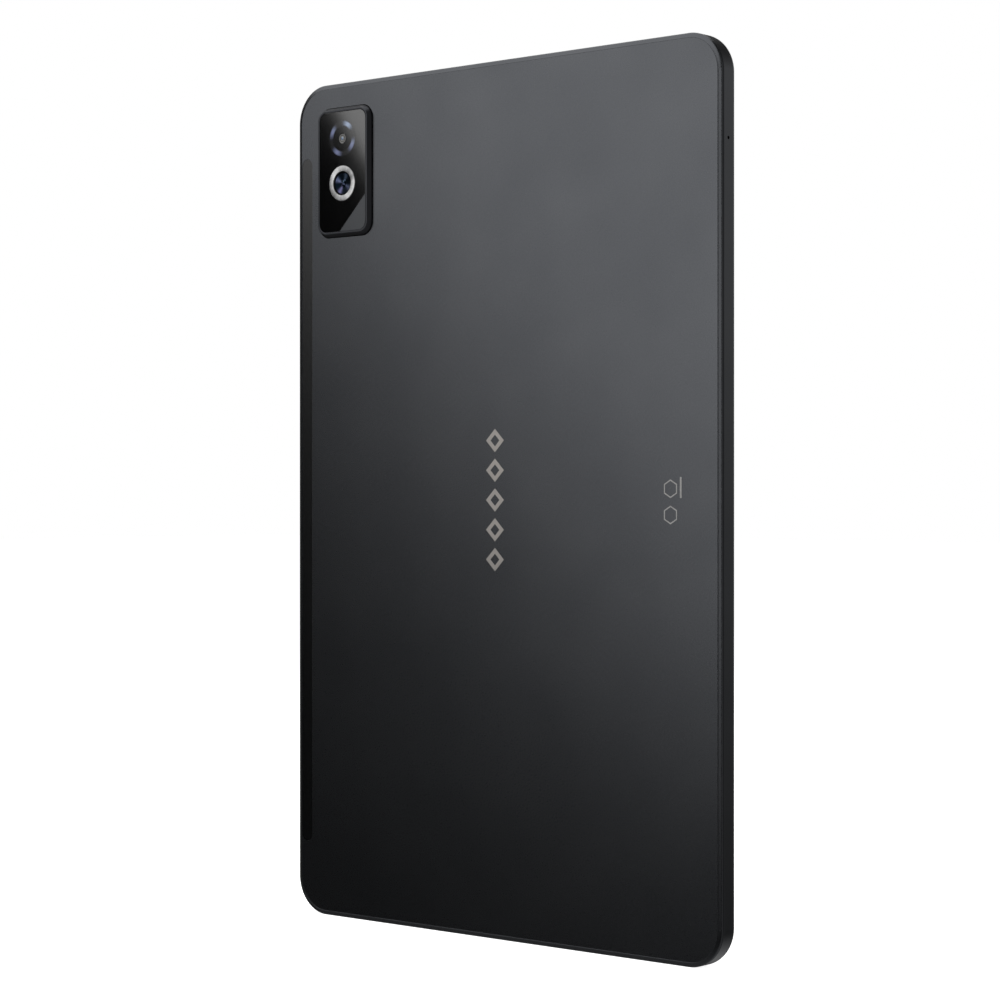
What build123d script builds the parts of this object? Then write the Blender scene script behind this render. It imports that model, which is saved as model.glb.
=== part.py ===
from build123d import *
from math import tan, radians
import os

# Tablet computer, stood upright in portrait, in millimetres.
#
# The screen faces -Y, the rear cover faces +Y, and the lower short edge stands on Z = 0. X runs to
# the right as the screen is read. The origin is the middle of the foot of the whole object, so Y = 0
# is half way between the front glass and the top of the rear lens ring.
#
# Most positions are given as a depth behind the flat of the rear cover: 0 is the rear face and
# `thickness` is the front glass. `back_y` turns a depth into Y.

# ---- driving dimensions of the body ----
width = 156.5
height = 248.0
thickness = 7.0
corner_radius = 10.9
middle_z = height / 2
seam = 0.05  # clearance around glued and inlaid pieces

# ---- rear camera island ----
island_x = 58.5
island_z = 221.45
island_width = 21.6
island_height = 38.4
island_corner = 4.0
island_rise = 1.6
island_slope_in = 0.8
island_slope_down = 1.25
island_rim = 0.6
island_gap = 0.2
bezel_flange = 1.2
lens_z = 217.9
flash_z = 231.2
lens_ring_radius = 5.22
lens_ring_bore = 3.58
lens_ring_rise = 1.75
corner_plate_leg = 10.65

half_depth = (thickness + lens_ring_rise) / 2
back_y = half_depth - lens_ring_rise

# ---- layers, as depths behind the rear face ----
cover_depth = 0.8
bevel_in = 1.35
bevel_depth = 0.5
cover_edge_depth = 0.65
groove_in = 0.5
groove_depth = 0.95
battery_top = 1.05
battery_bottom = 4.45
plate_top = 4.6
plate_bottom = 5.0
backlight_top = 5.05
light_guide_top = 5.2
panel_top = 5.8
ledge_depth = 6.15
glass_top = 6.3
board_top = 3.4
board_bottom = 4.0
side_centre = 3.05  # depth of the middle of the flat side wall

# ---- frame ----
wall = 2.6
front_fillet = 2.0
display_inset = 4.5
glass_inset = front_fillet + seam
post_radius = 1.7
screw_radius = 0.7
screw_depth = 4.85

# ---- display: a 10.4 inch panel with a 5:3 picture ----
picture_width = 135.5
picture_height = 225.9
panel_border = 1.75

# ---- keys; an inset is measured inwards from the outside of the wall ----
key_width = 2.2
key_gap = 0.15
key_proud = 0.35
key_ledge = 1.4  # inset of the ledge that keeps a key in
key_flange_width = 3.0
key_flange = 0.4
key_post_radius = 0.65
key_pocket_length = 2.4  # how much longer the pocket behind a key is than the key
rocker_z = 196.0
rocker_length = 21.0
rocker_flange_at = 1.6
rocker_tab_length = 12.0
rocker_post_at = 7.0
rocker_post_end = 2.35
rocker_rib_radius = 0.38
power_x = 58.5
power_length = 10.5
power_flange_at = 1.5
power_flange_length = 12.1
power_post_end = 2.3
switch_depth = 0.7
switch_length = 3.0
switch_width = 2.4
flex_thick = 0.15

# ---- USB socket ----
usb_width = 8.94
usb_height = 3.2
usb_wall = 0.3
usb_length = 7.3
usb_sunk = 0.2
usb_tongue_width = 6.7
usb_tongue_thick = 0.7

# ---- antenna window in the rear cover ----
window_x = 74.6
window_width = 4.3
window_length = 205.0
window_sunk = 0.04

# ---- card tray ----
tray_z = 158.0
tray_cap_length = 18.6
tray_cap_width = 2.3
tray_cap_thick = 1.3
tray_plate_top = 2.25
tray_plate_bottom = 3.05
tray_inner_x = 47.7
tray_plate_low = -6.6
tray_plate_high = 7.6
tray_gap = 0.1
pinhole_radius = 0.5
pinhole_z = -8.1
reader_top = 1.9
reader_floor = 3.3
eject_rod_half = 0.45
eject_gap = 0.1
eject_pivot_x = 46.0
eject_pivot_z = tray_z - 4.4
eject_pivot_radius = 0.4
lever_half = 0.45

# ---- sound ----
speaker_x = 36.0
speaker_width = 29.0
speaker_length = 14.5
grille_holes = 9
grille_pitch = 2.05
grille_radius = 0.6
side_mic_z = 219.5
mic_radius = 0.45
bottom_mic_x = 13.5

# ---- boards and battery ----
main_left, main_right = 36.5, 73.9
main_low, main_high = 104.0, 204.0
ear_left, ear_high = 66.5, 232.0
sub_half, sub_high = 19.0, 17.0
cell_left, cell_right = -60.0, 26.0
cell_size_z = 84.0
cell_low_z = 33.0
cell_gap = 4.0
rib_thick = 0.9
rib_top = 1.4
antenna_bottom = 1.5
coax_radius = 0.55
front_camera_x = 72.4
front_camera_side = 5.2


def depth_plane(depth):
    """A plane facing the screen side, at that depth behind the rear face. Its own Y is up."""
    return Plane(origin=(0, back_y - depth, 0), x_dir=(1, 0, 0), z_dir=(0, -1, 0))


def prism(sketch, top, bottom):
    """A flat sketch in X and Z, made solid from depth top to depth bottom."""
    return extrude(depth_plane(top) * sketch, bottom - top)


def slab(x, z, top, bottom, radius=0.0):
    """A plate over the ranges x and z, from depth top to depth bottom, with round corners in plan."""
    size_x = x[1] - x[0]
    size_z = z[1] - z[0]
    flat = RectangleRounded(size_x, size_z, radius) if radius else Rectangle(size_x, size_z)
    return prism(Pos((x[0] + x[1]) / 2, (z[0] + z[1]) / 2) * flat, top, bottom)


def disc(x, z, radius, top, bottom, bore=0.0):
    """A round plate, or a ring when it has a bore."""
    flat = Circle(radius) - Circle(bore) if bore else Circle(radius)
    return prism(Pos(x, z) * flat, top, bottom)


def body_outline(inset):
    """The tablet's rounded outline, brought in by inset."""
    flat = RectangleRounded(width - 2 * inset, height - 2 * inset, corner_radius - inset)
    return Pos(0, middle_z) * flat


def island_outline(inset):
    """The camera island's rounded outline, brought in by inset."""
    flat = RectangleRounded(
        island_width - 2 * inset, island_height - 2 * inset, island_corner - inset
    )
    return Pos(island_x, island_z) * flat


def side_plane(x, z, depth):
    """A plane on the +X side wall, facing out: its own X runs along Z, its own Y towards the back."""
    return Plane(origin=(x, back_y - depth, z), x_dir=(0, 0, 1), z_dir=(1, 0, 0))


def end_plane(x, z, depth):
    """A plane on the upper short wall, facing up: its own X runs along X, its own Y to the front."""
    return Plane(origin=(x, back_y - depth, z), x_dir=(1, 0, 0), z_dir=(0, 0, 1))


def rod(start, end, radius):
    """A round bar between two points."""
    a = Vector(*start)
    b = Vector(*end)
    return extrude(Plane(origin=a, z_dir=b - a) * Circle(radius), (b - a).length)


# ---- outer shell ----


def window_outline(grow=0.0):
    """The long slot with round ends beside the edge of the rear cover."""
    return Pos(window_x, middle_z) * Rot(0, 0, 90) * SlotOverall(
        window_length + 2 * grow, window_width + 2 * grow
    )


def make_rear_cover():
    """Aluminium back plate: sloped border, undercut edge, antenna slot and camera opening."""
    plate = prism(body_outline(0), 0, cover_depth)
    rear_face = plate.faces().sort_by(Axis.Y)[-1]
    plate = chamfer(rear_face.edges(), bevel_in, bevel_depth, reference=rear_face)
    undercut = prism(body_outline(-1) - body_outline(groove_in), cover_edge_depth, cover_depth)
    opening = prism(island_outline(-island_gap), -1, cover_depth + 1)
    slot = prism(window_outline(), -1, cover_depth + 1)
    return plate - undercut - opening - slot


def make_antenna_window():
    """Plastic strip that lets radio through the metal cover."""
    return prism(window_outline(-seam), window_sunk, cover_depth)


def board_posts():
    """Where screws hold the two boards, in X and Z."""
    main = [(39.5, 107.0), (70.9, 107.0), (39.5, 201.0), (69.5, 201.0), (71.5, 228.5)]
    sub = [(-16.0, 13.8), (16.0, 13.8)]
    return main + sub



def make_mid_frame():
    """Side walls and middle plate in one casting, open for every key, port and sound hole."""
    frame = prism(body_outline(0), groove_depth, thickness)
    front_face = frame.faces().sort_by(Axis.Y)[0]
    frame = fillet(front_face.edges(), front_fillet)
    rear_face = frame.faces().sort_by(Axis.Y)[-1]
    frame = fillet(rear_face.edges(), 0.15)
    frame += prism(body_outline(groove_in), cover_depth, groove_depth)
    frame -= prism(body_outline(wall), 0, plate_top)
    frame -= prism(body_outline(glass_inset - seam), ledge_depth, thickness + 1)
    frame -= prism(body_outline(display_inset), plate_bottom, thickness)
    for x, z in board_posts():
        frame += disc(x, z, post_radius, board_bottom, plate_top)
        frame -= disc(x, z, screw_radius, board_bottom - 1, screw_depth)
    frame += make_battery_ribs()
    frame -= slab((28.0, 35.0), (140.0, 160.0), plate_top - 1, plate_bottom + 1, 1.0)
    frame -= front_camera_space(0.15)
    frame -= usb_opening()
    frame -= key_openings()
    frame -= tray_opening()
    frame -= sound_openings()
    return frame


def make_battery_ribs():
    """Low walls that fence the two battery cells."""
    high_z = cell_low_z + 2 * cell_size_z + cell_gap
    long_z = (cell_low_z - 1.2, high_z + 9.5)
    left = slab((cell_left - 1.4, cell_left - 1.4 + rib_thick), long_z, rib_top, plate_top)
    foot = slab((cell_left, cell_right), (long_z[0] - rib_thick, long_z[0]), rib_top, plate_top)
    head = slab((cell_left, cell_right), (long_z[1], long_z[1] + rib_thick), rib_top, plate_top)
    return left + foot + head


# ---- USB socket ----


def foot_plane(z=0.0):
    """A plane square to Z at the socket's centre line, facing up."""
    return end_plane(0, z, side_centre)


def usb_outline(grow=0.0):
    """The socket's rounded slot shape."""
    return SlotOverall(usb_width + 2 * grow, usb_height + 2 * grow)


def usb_opening():
    """Hole through the lower wall and the notch above it that the socket fills."""
    return extrude(foot_plane(-1) * usb_outline(0.1), usb_length + 1.4)


def make_usb_shell():
    """Drawn steel sleeve, open at the lower edge and closed behind."""
    sleeve = extrude(foot_plane(usb_sunk) * usb_outline(), usb_length)
    inside = extrude(foot_plane(usb_sunk) * usb_outline(-usb_wall), usb_length - usb_wall)
    return sleeve - inside


def make_usb_tongue():
    """Plastic tongue in the middle of the socket, on its base."""
    base_z = usb_sunk + usb_length - usb_wall - 1.6
    base = extrude(foot_plane(base_z) * usb_outline(-usb_wall - 0.02), 1.6)
    reach = 4.6
    tongue = extrude(
        foot_plane(base_z - reach) * RectangleRounded(usb_tongue_width, usb_tongue_thick, 0.2), reach
    )
    return base + tongue


def make_usb_contacts():
    """Twelve gold strips on each face of the tongue."""
    strips = []
    contact_thick = 0.04
    start_z = usb_sunk + usb_length - usb_wall - 1.6 - 4.2
    for face in (-1, 1):
        offset = face * (usb_tongue_thick / 2 + contact_thick / 2)
        for i in range(12):
            x = (i - 5.5) * 0.5
            spot = Pos(x, back_y - side_centre + offset, start_z + 1.9)
            strips.append(spot * Box(0.25, contact_thick, 3.8))
    return Compound(strips)


# ---- keys ----


def key_openings():
    """Stepped slots for the volume rocker, in the side wall, and the power key, in the upper wall."""
    right = width / 2
    neck_width = key_width + 2 * key_gap
    pocket_width = key_flange_width + 0.4
    inner = wall + 1
    rocker_pocket = Rectangle(rocker_length + key_pocket_length, pocket_width)
    power_pocket = Rectangle(power_length + key_pocket_length, pocket_width)
    rocker_neck = SlotOverall(rocker_length + 2 * key_gap, neck_width)
    power_neck = SlotOverall(power_length + 2 * key_gap, neck_width)
    cut = extrude(side_plane(right - key_ledge, rocker_z, side_centre) * rocker_neck, key_ledge + 1)
    cut += extrude(side_plane(right - inner, rocker_z, side_centre) * rocker_pocket, inner - key_ledge)
    cut += extrude(end_plane(power_x, height - key_ledge, side_centre) * power_neck, key_ledge + 1)
    cut += extrude(end_plane(power_x, height - inner, side_centre) * power_pocket, inner - key_ledge)
    return cut


def make_volume_rocker():
    """One bar with a domed face, a clip tab and a round rib that it rocks on, and two posts."""
    right = width / 2
    thick = key_proud + rocker_flange_at
    bar = extrude(
        side_plane(right - rocker_flange_at, rocker_z, side_centre)
        * SlotOverall(rocker_length, key_width),
        thick,
    )
    bar = fillet(bar.faces().sort_by(Axis.X)[-1].edges(), 0.3)
    tab_end = rocker_flange_at + key_flange
    bar += extrude(
        side_plane(right - tab_end, rocker_z, side_centre)
        * RectangleRounded(rocker_tab_length, key_flange_width, 0.3),
        key_flange,
    )
    for way in (-1, 1):
        z = rocker_z + way * rocker_post_at
        y = back_y - side_centre
        bar += rod((right - rocker_post_end, y, z), (right - rocker_flange_at, y, z), key_post_radius)
    pivot_x = right - rocker_flange_at - key_flange / 2
    rib_end = key_flange_width / 2
    y = back_y - side_centre
    return bar + rod((pivot_x, y - rib_end, rocker_z), (pivot_x, y + rib_end, rocker_z), rocker_rib_radius)


def make_power_button():
    """Short key with a domed face, a clip flange and one post."""
    key = extrude(
        end_plane(power_x, height - power_flange_at, side_centre)
        * SlotOverall(power_length, key_width),
        key_proud + power_flange_at,
    )
    key = fillet(key.faces().sort_by(Axis.Z)[-1].edges(), 0.3)
    flange_end = power_flange_at + key_flange
    key += extrude(
        end_plane(power_x, height - flange_end, side_centre)
        * RectangleRounded(power_flange_length, key_flange_width, 0.3),
        key_flange,
    )
    y = back_y - side_centre
    post_start = (power_x, y, height - power_post_end)
    return key + rod(post_start, (power_x, y, height - flange_end), key_post_radius)


def make_dome_switches():
    """Tactile domes that the posts press: two behind the rocker and one behind the power key."""
    y = back_y - side_centre
    x = width / 2 - wall - switch_depth / 2
    upright = Box(switch_depth, switch_width, switch_length)
    domes = [Pos(x, y, rocker_z + way * rocker_post_at) * upright for way in (-1, 1)]
    z = height - wall - switch_depth / 2
    domes.append(Pos(power_x, y, z) * Box(switch_length, switch_width, switch_depth))
    return Compound(domes)


def wall_strip(inset, thick, start_z, end_x, tall):
    """A strip on edge that hugs the inside of the wall, from the side round to the upper end."""
    bend = corner_radius - inset
    right = width / 2 - inset
    top = height - inset
    outer_corner = Pos(right - bend, top - bend) * Circle(bend)
    inner_corner = Pos(right - bend, top - bend) * Circle(bend - thick)
    quarter = Pos(right - bend / 2, top - bend / 2) * Rectangle(bend, bend)
    turn = (outer_corner - inner_corner) & quarter
    up_size = top - bend - start_z
    up = Pos(right - thick / 2, start_z + up_size / 2) * Rectangle(thick, up_size)
    along_size = right - bend - end_x
    along = Pos(end_x + along_size / 2, top - thick / 2) * Rectangle(along_size, thick)
    flat = turn + up + along
    return prism(flat, side_centre - tall / 2, side_centre + tall / 2)


def make_key_flex():
    """Flexible circuit behind the domes, from the rocker to the power key."""
    strip = wall_strip(wall + switch_depth, flex_thick, rocker_z - 12.0, power_x - 4.0, 2.6)
    tail_x = width / 2 - wall - switch_depth - flex_thick
    tail = slab((tail_x - 5.0, tail_x), (213.5, 216.5), side_centre - 0.1, side_centre + 0.05)
    return strip + tail


def make_key_brackets():
    """Steel strips that back the domes, one behind the rocker and one behind the power key."""
    inset = wall + switch_depth + flex_thick
    right = width / 2 - inset
    top = height - inset
    thick = 0.3
    low = side_centre - 1.3
    side = slab((right - thick, right), (rocker_z - 11.0, rocker_z + 11.0), low, plate_top)
    end = slab((power_x - 4.5, power_x + 4.5), (top - thick, top), low, plate_top)
    return Compound([side, end])


# ---- card tray, its reader and its ejector ----


def tray_opening():
    """Slot in the side wall for the tray's cap, and the narrower way in for its plate and the pin."""
    right = width / 2
    mouth = side_plane(right - tray_cap_thick - 0.15, tray_z, side_centre) * SlotOverall(
        tray_cap_length + 2 * tray_gap, tray_cap_width + 2 * tray_gap
    )
    cut = extrude(mouth, tray_cap_thick + 1.15)
    way_in = (tray_z + tray_plate_low - 0.2, tray_z + tray_plate_high + 0.2)
    cut += slab((right - wall - 1, right), way_in, tray_plate_top - 0.15, tray_plate_bottom + 0.15)
    pin_y = back_y - side_centre
    pin_z = tray_z + pinhole_z
    cut += rod((right - wall - 1, pin_y, pin_z), (right, pin_y, pin_z), 0.7)
    return cut


def make_card_tray():
    """Flush cap with a pinhole and a plate with seats for two cards."""
    right = width / 2
    cap = extrude(
        side_plane(right - tray_cap_thick, tray_z, side_centre)
        * SlotOverall(tray_cap_length, tray_cap_width),
        tray_cap_thick,
    )
    plate = slab(
        (tray_inner_x, right - tray_cap_thick),
        (tray_z + tray_plate_low, tray_z + tray_plate_high),
        tray_plate_top,
        tray_plate_bottom,
        0.4,
    )
    joint = slab(
        (right - tray_cap_thick - 1.0, right - tray_cap_thick),
        (tray_z + tray_plate_low, tray_z + tray_plate_high),
        tray_plate_top,
        tray_plate_bottom,
    )
    middle = tray_z + (tray_plate_low + tray_plate_high) / 2
    small_card = slab((64.6, 73.6), (middle - 6.25, middle + 6.25), tray_plate_top - 1, 2.9, 0.3)
    large_card = slab((48.6, 63.8), (middle - 5.6, middle + 5.6), tray_plate_top - 1, 2.9, 0.3)
    small_view = slab((66.2, 72.0), (middle - 4.6, middle + 4.6), 2, 4, 0.3)
    large_view = slab((50.4, 62.2), (middle - 4.2, middle + 4.2), 2, 4, 0.3)
    tray = cap + plate + joint - small_card - large_card - small_view - large_view
    pin_y = back_y - side_centre
    pin_z = tray_z + pinhole_z
    return tray - rod((right - tray_cap_thick - 1, pin_y, pin_z), (right + 1, pin_y, pin_z), pinhole_radius)


def make_card_reader():
    """Folded steel cage on the main board that the tray slides into, with the ejector beside it."""
    right = 75.2
    sheet = 0.15
    cavity_x = (43.4, right + 1)
    cavity_z = (tray_z - 9.8, tray_z + 8.1)
    cage = slab((43.0, right), (tray_z - 10.2, tray_z + 8.5), reader_top, board_top, 0.3)
    return cage - slab(cavity_x, cavity_z, reader_top + sheet, reader_floor)


def make_eject_rod():
    """Slim bar beside the tray that a pin pushes in through the hole in the cap."""
    x = (eject_pivot_x + lever_half + eject_gap, 74.6)
    z = tray_z + pinhole_z
    return slab(x, (z - eject_rod_half, z + eject_rod_half), 2.55, 3.2)


def make_eject_lever():
    """Rocking arm at the blind end of the reader, between the bar and the tray."""
    x = (eject_pivot_x - lever_half, eject_pivot_x + lever_half)
    arm = slab(x, (eject_pivot_z - 4.1, eject_pivot_z + 3.8), 2.4, 3.1, 0.3)
    arm += disc(eject_pivot_x, eject_pivot_z, 1.0, 2.4, 3.1)
    return arm - disc(eject_pivot_x, eject_pivot_z, eject_pivot_radius + 0.05, 2, 4)


def make_eject_pivot():
    """Rivet that the arm turns on."""
    return disc(eject_pivot_x, eject_pivot_z, eject_pivot_radius, reader_top + 0.15, reader_floor)


def make_tray_seal():
    """Rubber ring round the tray's plate, just behind its cap."""
    right = width / 2 - tray_cap_thick
    z = (tray_z + tray_plate_low, tray_z + tray_plate_high)
    outer_z = (z[0] - 0.12, z[1] + 0.12)
    outer = slab((right - 0.6, right - 0.15), outer_z, tray_plate_top - 0.1, tray_plate_bottom + 0.1)
    return outer - slab((right - 2, right + 1), z, tray_plate_top, tray_plate_bottom)


# ---- sound ----


def grille_xs(centre):
    """Places of the drilled holes in one speaker grille."""
    return [centre + (i - (grille_holes - 1) / 2) * grille_pitch for i in range(grille_holes)]


def sound_openings():
    """Four rows of speaker holes through the short walls and two microphone holes."""
    y = back_y - side_centre
    holes = []
    for centre in (-speaker_x, speaker_x):
        for x in grille_xs(centre):
            holes.append(rod((x, y, -1), (x, y, wall + 0.5), grille_radius))
            holes.append(rod((x, y, height - wall - 0.5), (x, y, height + 1), grille_radius))
    holes.append(rod((-width / 2 - 1, y, side_mic_z), (-width / 2 + wall + 0.5, y, side_mic_z), mic_radius))
    holes.append(rod((bottom_mic_x, y, -1), (bottom_mic_x, y, wall + 0.5), mic_radius))
    return Compound(holes)


def make_speaker(side, end):
    """Sealed speaker box with a front port, its diaphragm frame showing on the flat."""
    inner = wall + 0.2
    z = (inner, inner + speaker_length)
    if end > 0:
        z = (height - z[1], height - z[0])
    x = (side * speaker_x - speaker_width / 2, side * speaker_x + speaker_width / 2)
    box = slab(x, z, 1.0, 4.5, 1.2)
    middle = (z[0] + z[1]) / 2
    recess = slab((x[0] + 6, x[1] - 6), (middle - 4, middle + 4), 0.9, 1.3, 3.5)
    cone = slab((x[0] + 7.2, x[1] - 7.2), (middle - 2.9, middle + 2.9), 1.05, 1.3, 2.6)
    port_z = (z[0] - 1, z[0] + 2.2) if end < 0 else (z[1] - 2.2, z[1] + 1)
    port = slab((side * speaker_x - 9.5, side * speaker_x + 9.5), port_z, 2.3, 3.8)
    return box - recess + cone - port


def make_speaker_meshes():
    """Fine mesh strip behind each row of grille holes."""
    strips = []
    for side in (-1, 1):
        x = (side * speaker_x - 10.0, side * speaker_x + 10.0)
        for z in ((wall, wall + 0.15), (height - wall - 0.15, height - wall)):
            strips.append(slab(x, z, 2.1, 4.0))
    return Compound(strips)


def make_side_microphone():
    """Microphone with its rubber boot behind the hole in the -X wall."""
    inner = -width / 2 + wall
    y = back_y - side_centre
    boot = Pos(inner + 0.4, y, side_mic_z) * Box(0.8, 3.0, 3.6)
    boot -= rod((inner - 1, y, side_mic_z), (inner + 1, y, side_mic_z), mic_radius)
    can = Pos(inner + 0.8 + 0.55, y, side_mic_z) * Box(1.1, 2.7, 3.4)
    return Compound([boot, can])


def make_bottom_microphone():
    """Microphone and boot behind the hole in the lower wall, on the small board's edge."""
    y = back_y - side_centre
    boot = Pos(bottom_mic_x, y + 0.5, wall + 0.25) * Box(3.4, 1.6, 0.5)
    boot -= rod((bottom_mic_x, y, wall - 1), (bottom_mic_x, y, wall + 1), mic_radius)
    can = slab((bottom_mic_x - 1.7, bottom_mic_x + 1.7), (wall + 0.6, wall + 3.2), 2.4, board_top)
    return Compound([boot, can])


# ---- camera island ----


def make_camera_bezel():
    """Raised surround with sloped walls and a seat for the glass, set in the cover's opening."""
    block = prism(island_outline(0), -island_rise, cover_depth)
    top = block.faces().sort_by(Axis.Y)[-1]
    block = chamfer(top.edges(), island_slope_in, island_slope_down, reference=top)
    block += prism(island_outline(-bezel_flange), cover_depth, cover_depth + 0.15)
    seat = prism(island_outline(island_slope_in + island_rim), -island_rise - 1, -0.95)
    through = prism(island_outline(2.6), -island_rise, cover_depth + 1)
    return block - seat - through


def corner_cut():
    """Triangle in the lower corner nearest the tablet's middle, where the metal plate sits."""
    inset = island_slope_in + island_rim
    x = island_x - island_width / 2 + inset
    z = island_z - island_height / 2 + inset
    corner = Polyline((x - 5, z - 5), (x + corner_plate_leg + 5, z - 5), (x - 5, z + corner_plate_leg + 5))
    return make_face(corner + Line(corner @ 1, corner @ 0))


def make_camera_glass():
    """Black window over the camera and the flash, cut off at one corner."""
    flat = island_outline(island_slope_in + island_rim + seam) - corner_cut()
    glass = prism(flat, -island_rise + 0.05, -0.95)
    glass -= disc(island_x, lens_z, lens_ring_radius + seam, -3, 1)
    return glass - disc(island_x, flash_z, 1.6, -3, 1)


def make_camera_corner_plate():
    """Metal plate that fills the cut corner."""
    flat = island_outline(island_slope_in + island_rim + seam) & (Pos(-0.06, -0.06) * corner_cut())
    return prism(flat, -island_rise + 0.02, -0.95)


def make_lens_ring():
    """Turned metal ring round the main lens, chamfered inside and out."""
    ring = disc(island_x, lens_z, lens_ring_radius, -lens_ring_rise, -0.95, lens_ring_bore)
    rims = ring.faces().sort_by(Axis.Y)[-1].edges()
    return chamfer(rims, 0.12)


def make_lens_disc():
    """Dished disc with a turned face between the ring and the lens."""
    plate = disc(island_x, lens_z, lens_ring_bore - 0.03, -1.35, -0.95, 0.95)
    return plate


def make_lens_element():
    """Small domed front lens."""
    dome = disc(island_x, lens_z, 0.92, -1.45, -0.5)
    return fillet(dome.faces().sort_by(Axis.Y)[-1].edges(), 0.25)


def make_lens_barrel():
    """Black barrel that carries the lenses down to the camera module."""
    return disc(island_x, lens_z, 3.3, -0.5, 0.4, 1.0) + disc(island_x, lens_z, 3.9, 0.4, 0.7, 1.0)


def make_camera_gasket():
    """Foam ring between the barrel and the glass."""
    return disc(island_x, lens_z, 4.6, -0.95, -0.1, 3.4)


def make_rear_camera():
    """Camera module under the barrel, with its ribbon to the main board."""
    half = 4.6
    block = slab((island_x - half, island_x + half), (lens_z - half, lens_z + half), 0.7, 4.3, 0.4)
    ribbon = slab((island_x - 2.5, island_x + 2.5), (199.4, lens_z - half), 2.75, 2.9)
    return block + ribbon


def make_flash_lens():
    """Clear lens over the flash with concentric steps."""
    lens = disc(island_x, flash_z, 1.55, -island_rise + 0.05, -0.6)
    for outer, inner in ((1.35, 1.15), (0.95, 0.75)):
        lens -= disc(island_x, flash_z, outer, -3, -island_rise + 0.12, inner)
    return lens


def make_flash_led():
    """Flash chip on its little carrier board."""
    chip = slab((island_x - 0.8, island_x + 0.8), (flash_z - 0.8, flash_z + 0.8), -0.6, 0.2)
    carrier = slab((island_x - 3, island_x + 3), (flash_z - 2.5, flash_z + 2.5), 0.2, 0.6, 0.4)
    return chip + carrier


# ---- display ----


def make_cover_glass():
    """Front glass with a softly rounded outer edge."""
    glass = prism(body_outline(glass_inset), glass_top, thickness)
    return fillet(glass.faces().sort_by(Axis.Y)[0].edges(), 0.3)


def make_display_adhesive():
    """Thin frame of tape that holds the glass to its ledge."""
    return prism(body_outline(glass_inset + 0.3) - body_outline(display_inset - 0.3), ledge_depth, glass_top)


def picture_range(border):
    """X and Z ranges of the picture area with that much border round it."""
    x = picture_width / 2 + border
    z = picture_height / 2 + border
    return (-x, x), (middle_z - z, middle_z + z)


def make_display_panel():
    """Liquid crystal panel behind the glass."""
    return slab(*picture_range(panel_border), panel_top, glass_top)


def make_backlight_tray():
    """Shallow steel tray that holds the light guide."""
    tray = slab(*picture_range(panel_border), backlight_top, panel_top, 0.5)
    return tray - slab(*picture_range(panel_border - 0.35), light_guide_top, panel_top + 1, 0.3)


def make_light_guide():
    """Clear plate that spreads the backlight."""
    return slab(*picture_range(panel_border - 0.4), light_guide_top, panel_top, 0.3)


def front_camera_space(gap):
    """Square space through the middle plate for the front camera."""
    half = front_camera_side / 2 + gap
    x = (front_camera_x - half, front_camera_x + half)
    return slab(x, (middle_z - half, middle_z + half), plate_top - 1, glass_top)


def make_front_camera():
    """Front camera module looking out through the border of the glass."""
    half = front_camera_side / 2
    x = (front_camera_x - half, front_camera_x + half)
    block = slab(x, (middle_z - half, middle_z + half), 2.2, 5.4, 0.3)
    return block + disc(front_camera_x, middle_z, 1.7, 5.4, glass_top)


def make_light_sensor():
    """Ambient light sensor beside the front camera, on the ledge side of the panel."""
    return slab((71.4, 73.2), (middle_z + 8.0, middle_z + 10.6), 5.3, glass_top)


def make_display_flex():
    """Ribbon from the back of the display, through the middle plate, to the main board."""
    behind_display = back_y - backlight_top + flex_thick / 2
    over_board = back_y - 2.9
    line = FilletPolyline(
        (28.6, behind_display), (31.0, behind_display), (34.4, over_board), (41.0, over_board), radius=0.5
    )
    band = trace(line, flex_thick)
    flat = Plane(origin=(0, 0, 144.0), x_dir=(1, 0, 0), z_dir=(0, 0, 1)) * band
    return extrude(flat, 12.0)


# ---- battery ----


def cell_range(index):
    """Z range of one battery cell."""
    low = cell_low_z + index * (cell_size_z + cell_gap)
    return low, low + cell_size_z


def make_battery_cell(index):
    """Flat pouch cell with soft corners and its folded terminal edge."""
    z = cell_range(index)
    pouch = slab((cell_left, cell_right), z, battery_top, battery_bottom, 1.5)
    return fillet(pouch.faces().sort_by(Axis.Y)[-1].edges(), 0.6)


def make_battery_adhesive():
    """Pull-out strips under the cells."""
    strips = []
    for index in (0, 1):
        z = cell_range(index)
        for x in (-50.0, -24.0, 2.0):
            strips.append(slab((x, x + 14.0), (z[0] + 4, z[1] - 4), battery_bottom, plate_top))
    return Compound(strips)


def make_battery_board():
    """Protection circuit along the head of the upper cell."""
    z = cell_range(1)[1]
    strip = slab((cell_left + 3, cell_right - 3), (z + 0.6, z + 6.8), 3.3, 3.9, 0.5)
    for x in (-48.0, -30.0, -12.0, 6.0):
        strip += slab((x, x + 5.0), (z + 1.8, z + 5.4), 2.4, 3.3)
    return strip


def make_battery_lead():
    """Flat lead from the protection circuit to the main board."""
    z = cell_range(1)[1]
    across = slab((8.0, 42.0), (z + 2.0, z + 6.0), 2.15, 2.4)
    down = slab((38.0, 42.0), (190.0, z + 6.0), 2.15, 2.4)
    return across + down


# ---- boards ----


def make_main_board():
    """Main circuit board, with an ear beside the camera and a window for the front camera."""
    board = slab((main_left, main_right), (main_low, main_high), board_top, board_bottom, 1.0)
    board += slab((ear_left, main_right), (main_high - 2, ear_high), board_top, board_bottom, 1.0)
    half = front_camera_side / 2 + 0.3
    board -= slab(
        (front_camera_x - half, main_right + 1), (middle_z - half, middle_z + half), 3, 5
    )
    for x, z in board_posts()[:5]:
        board -= disc(x, z, screw_radius + 0.1, 3, 5)
    return board


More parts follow.
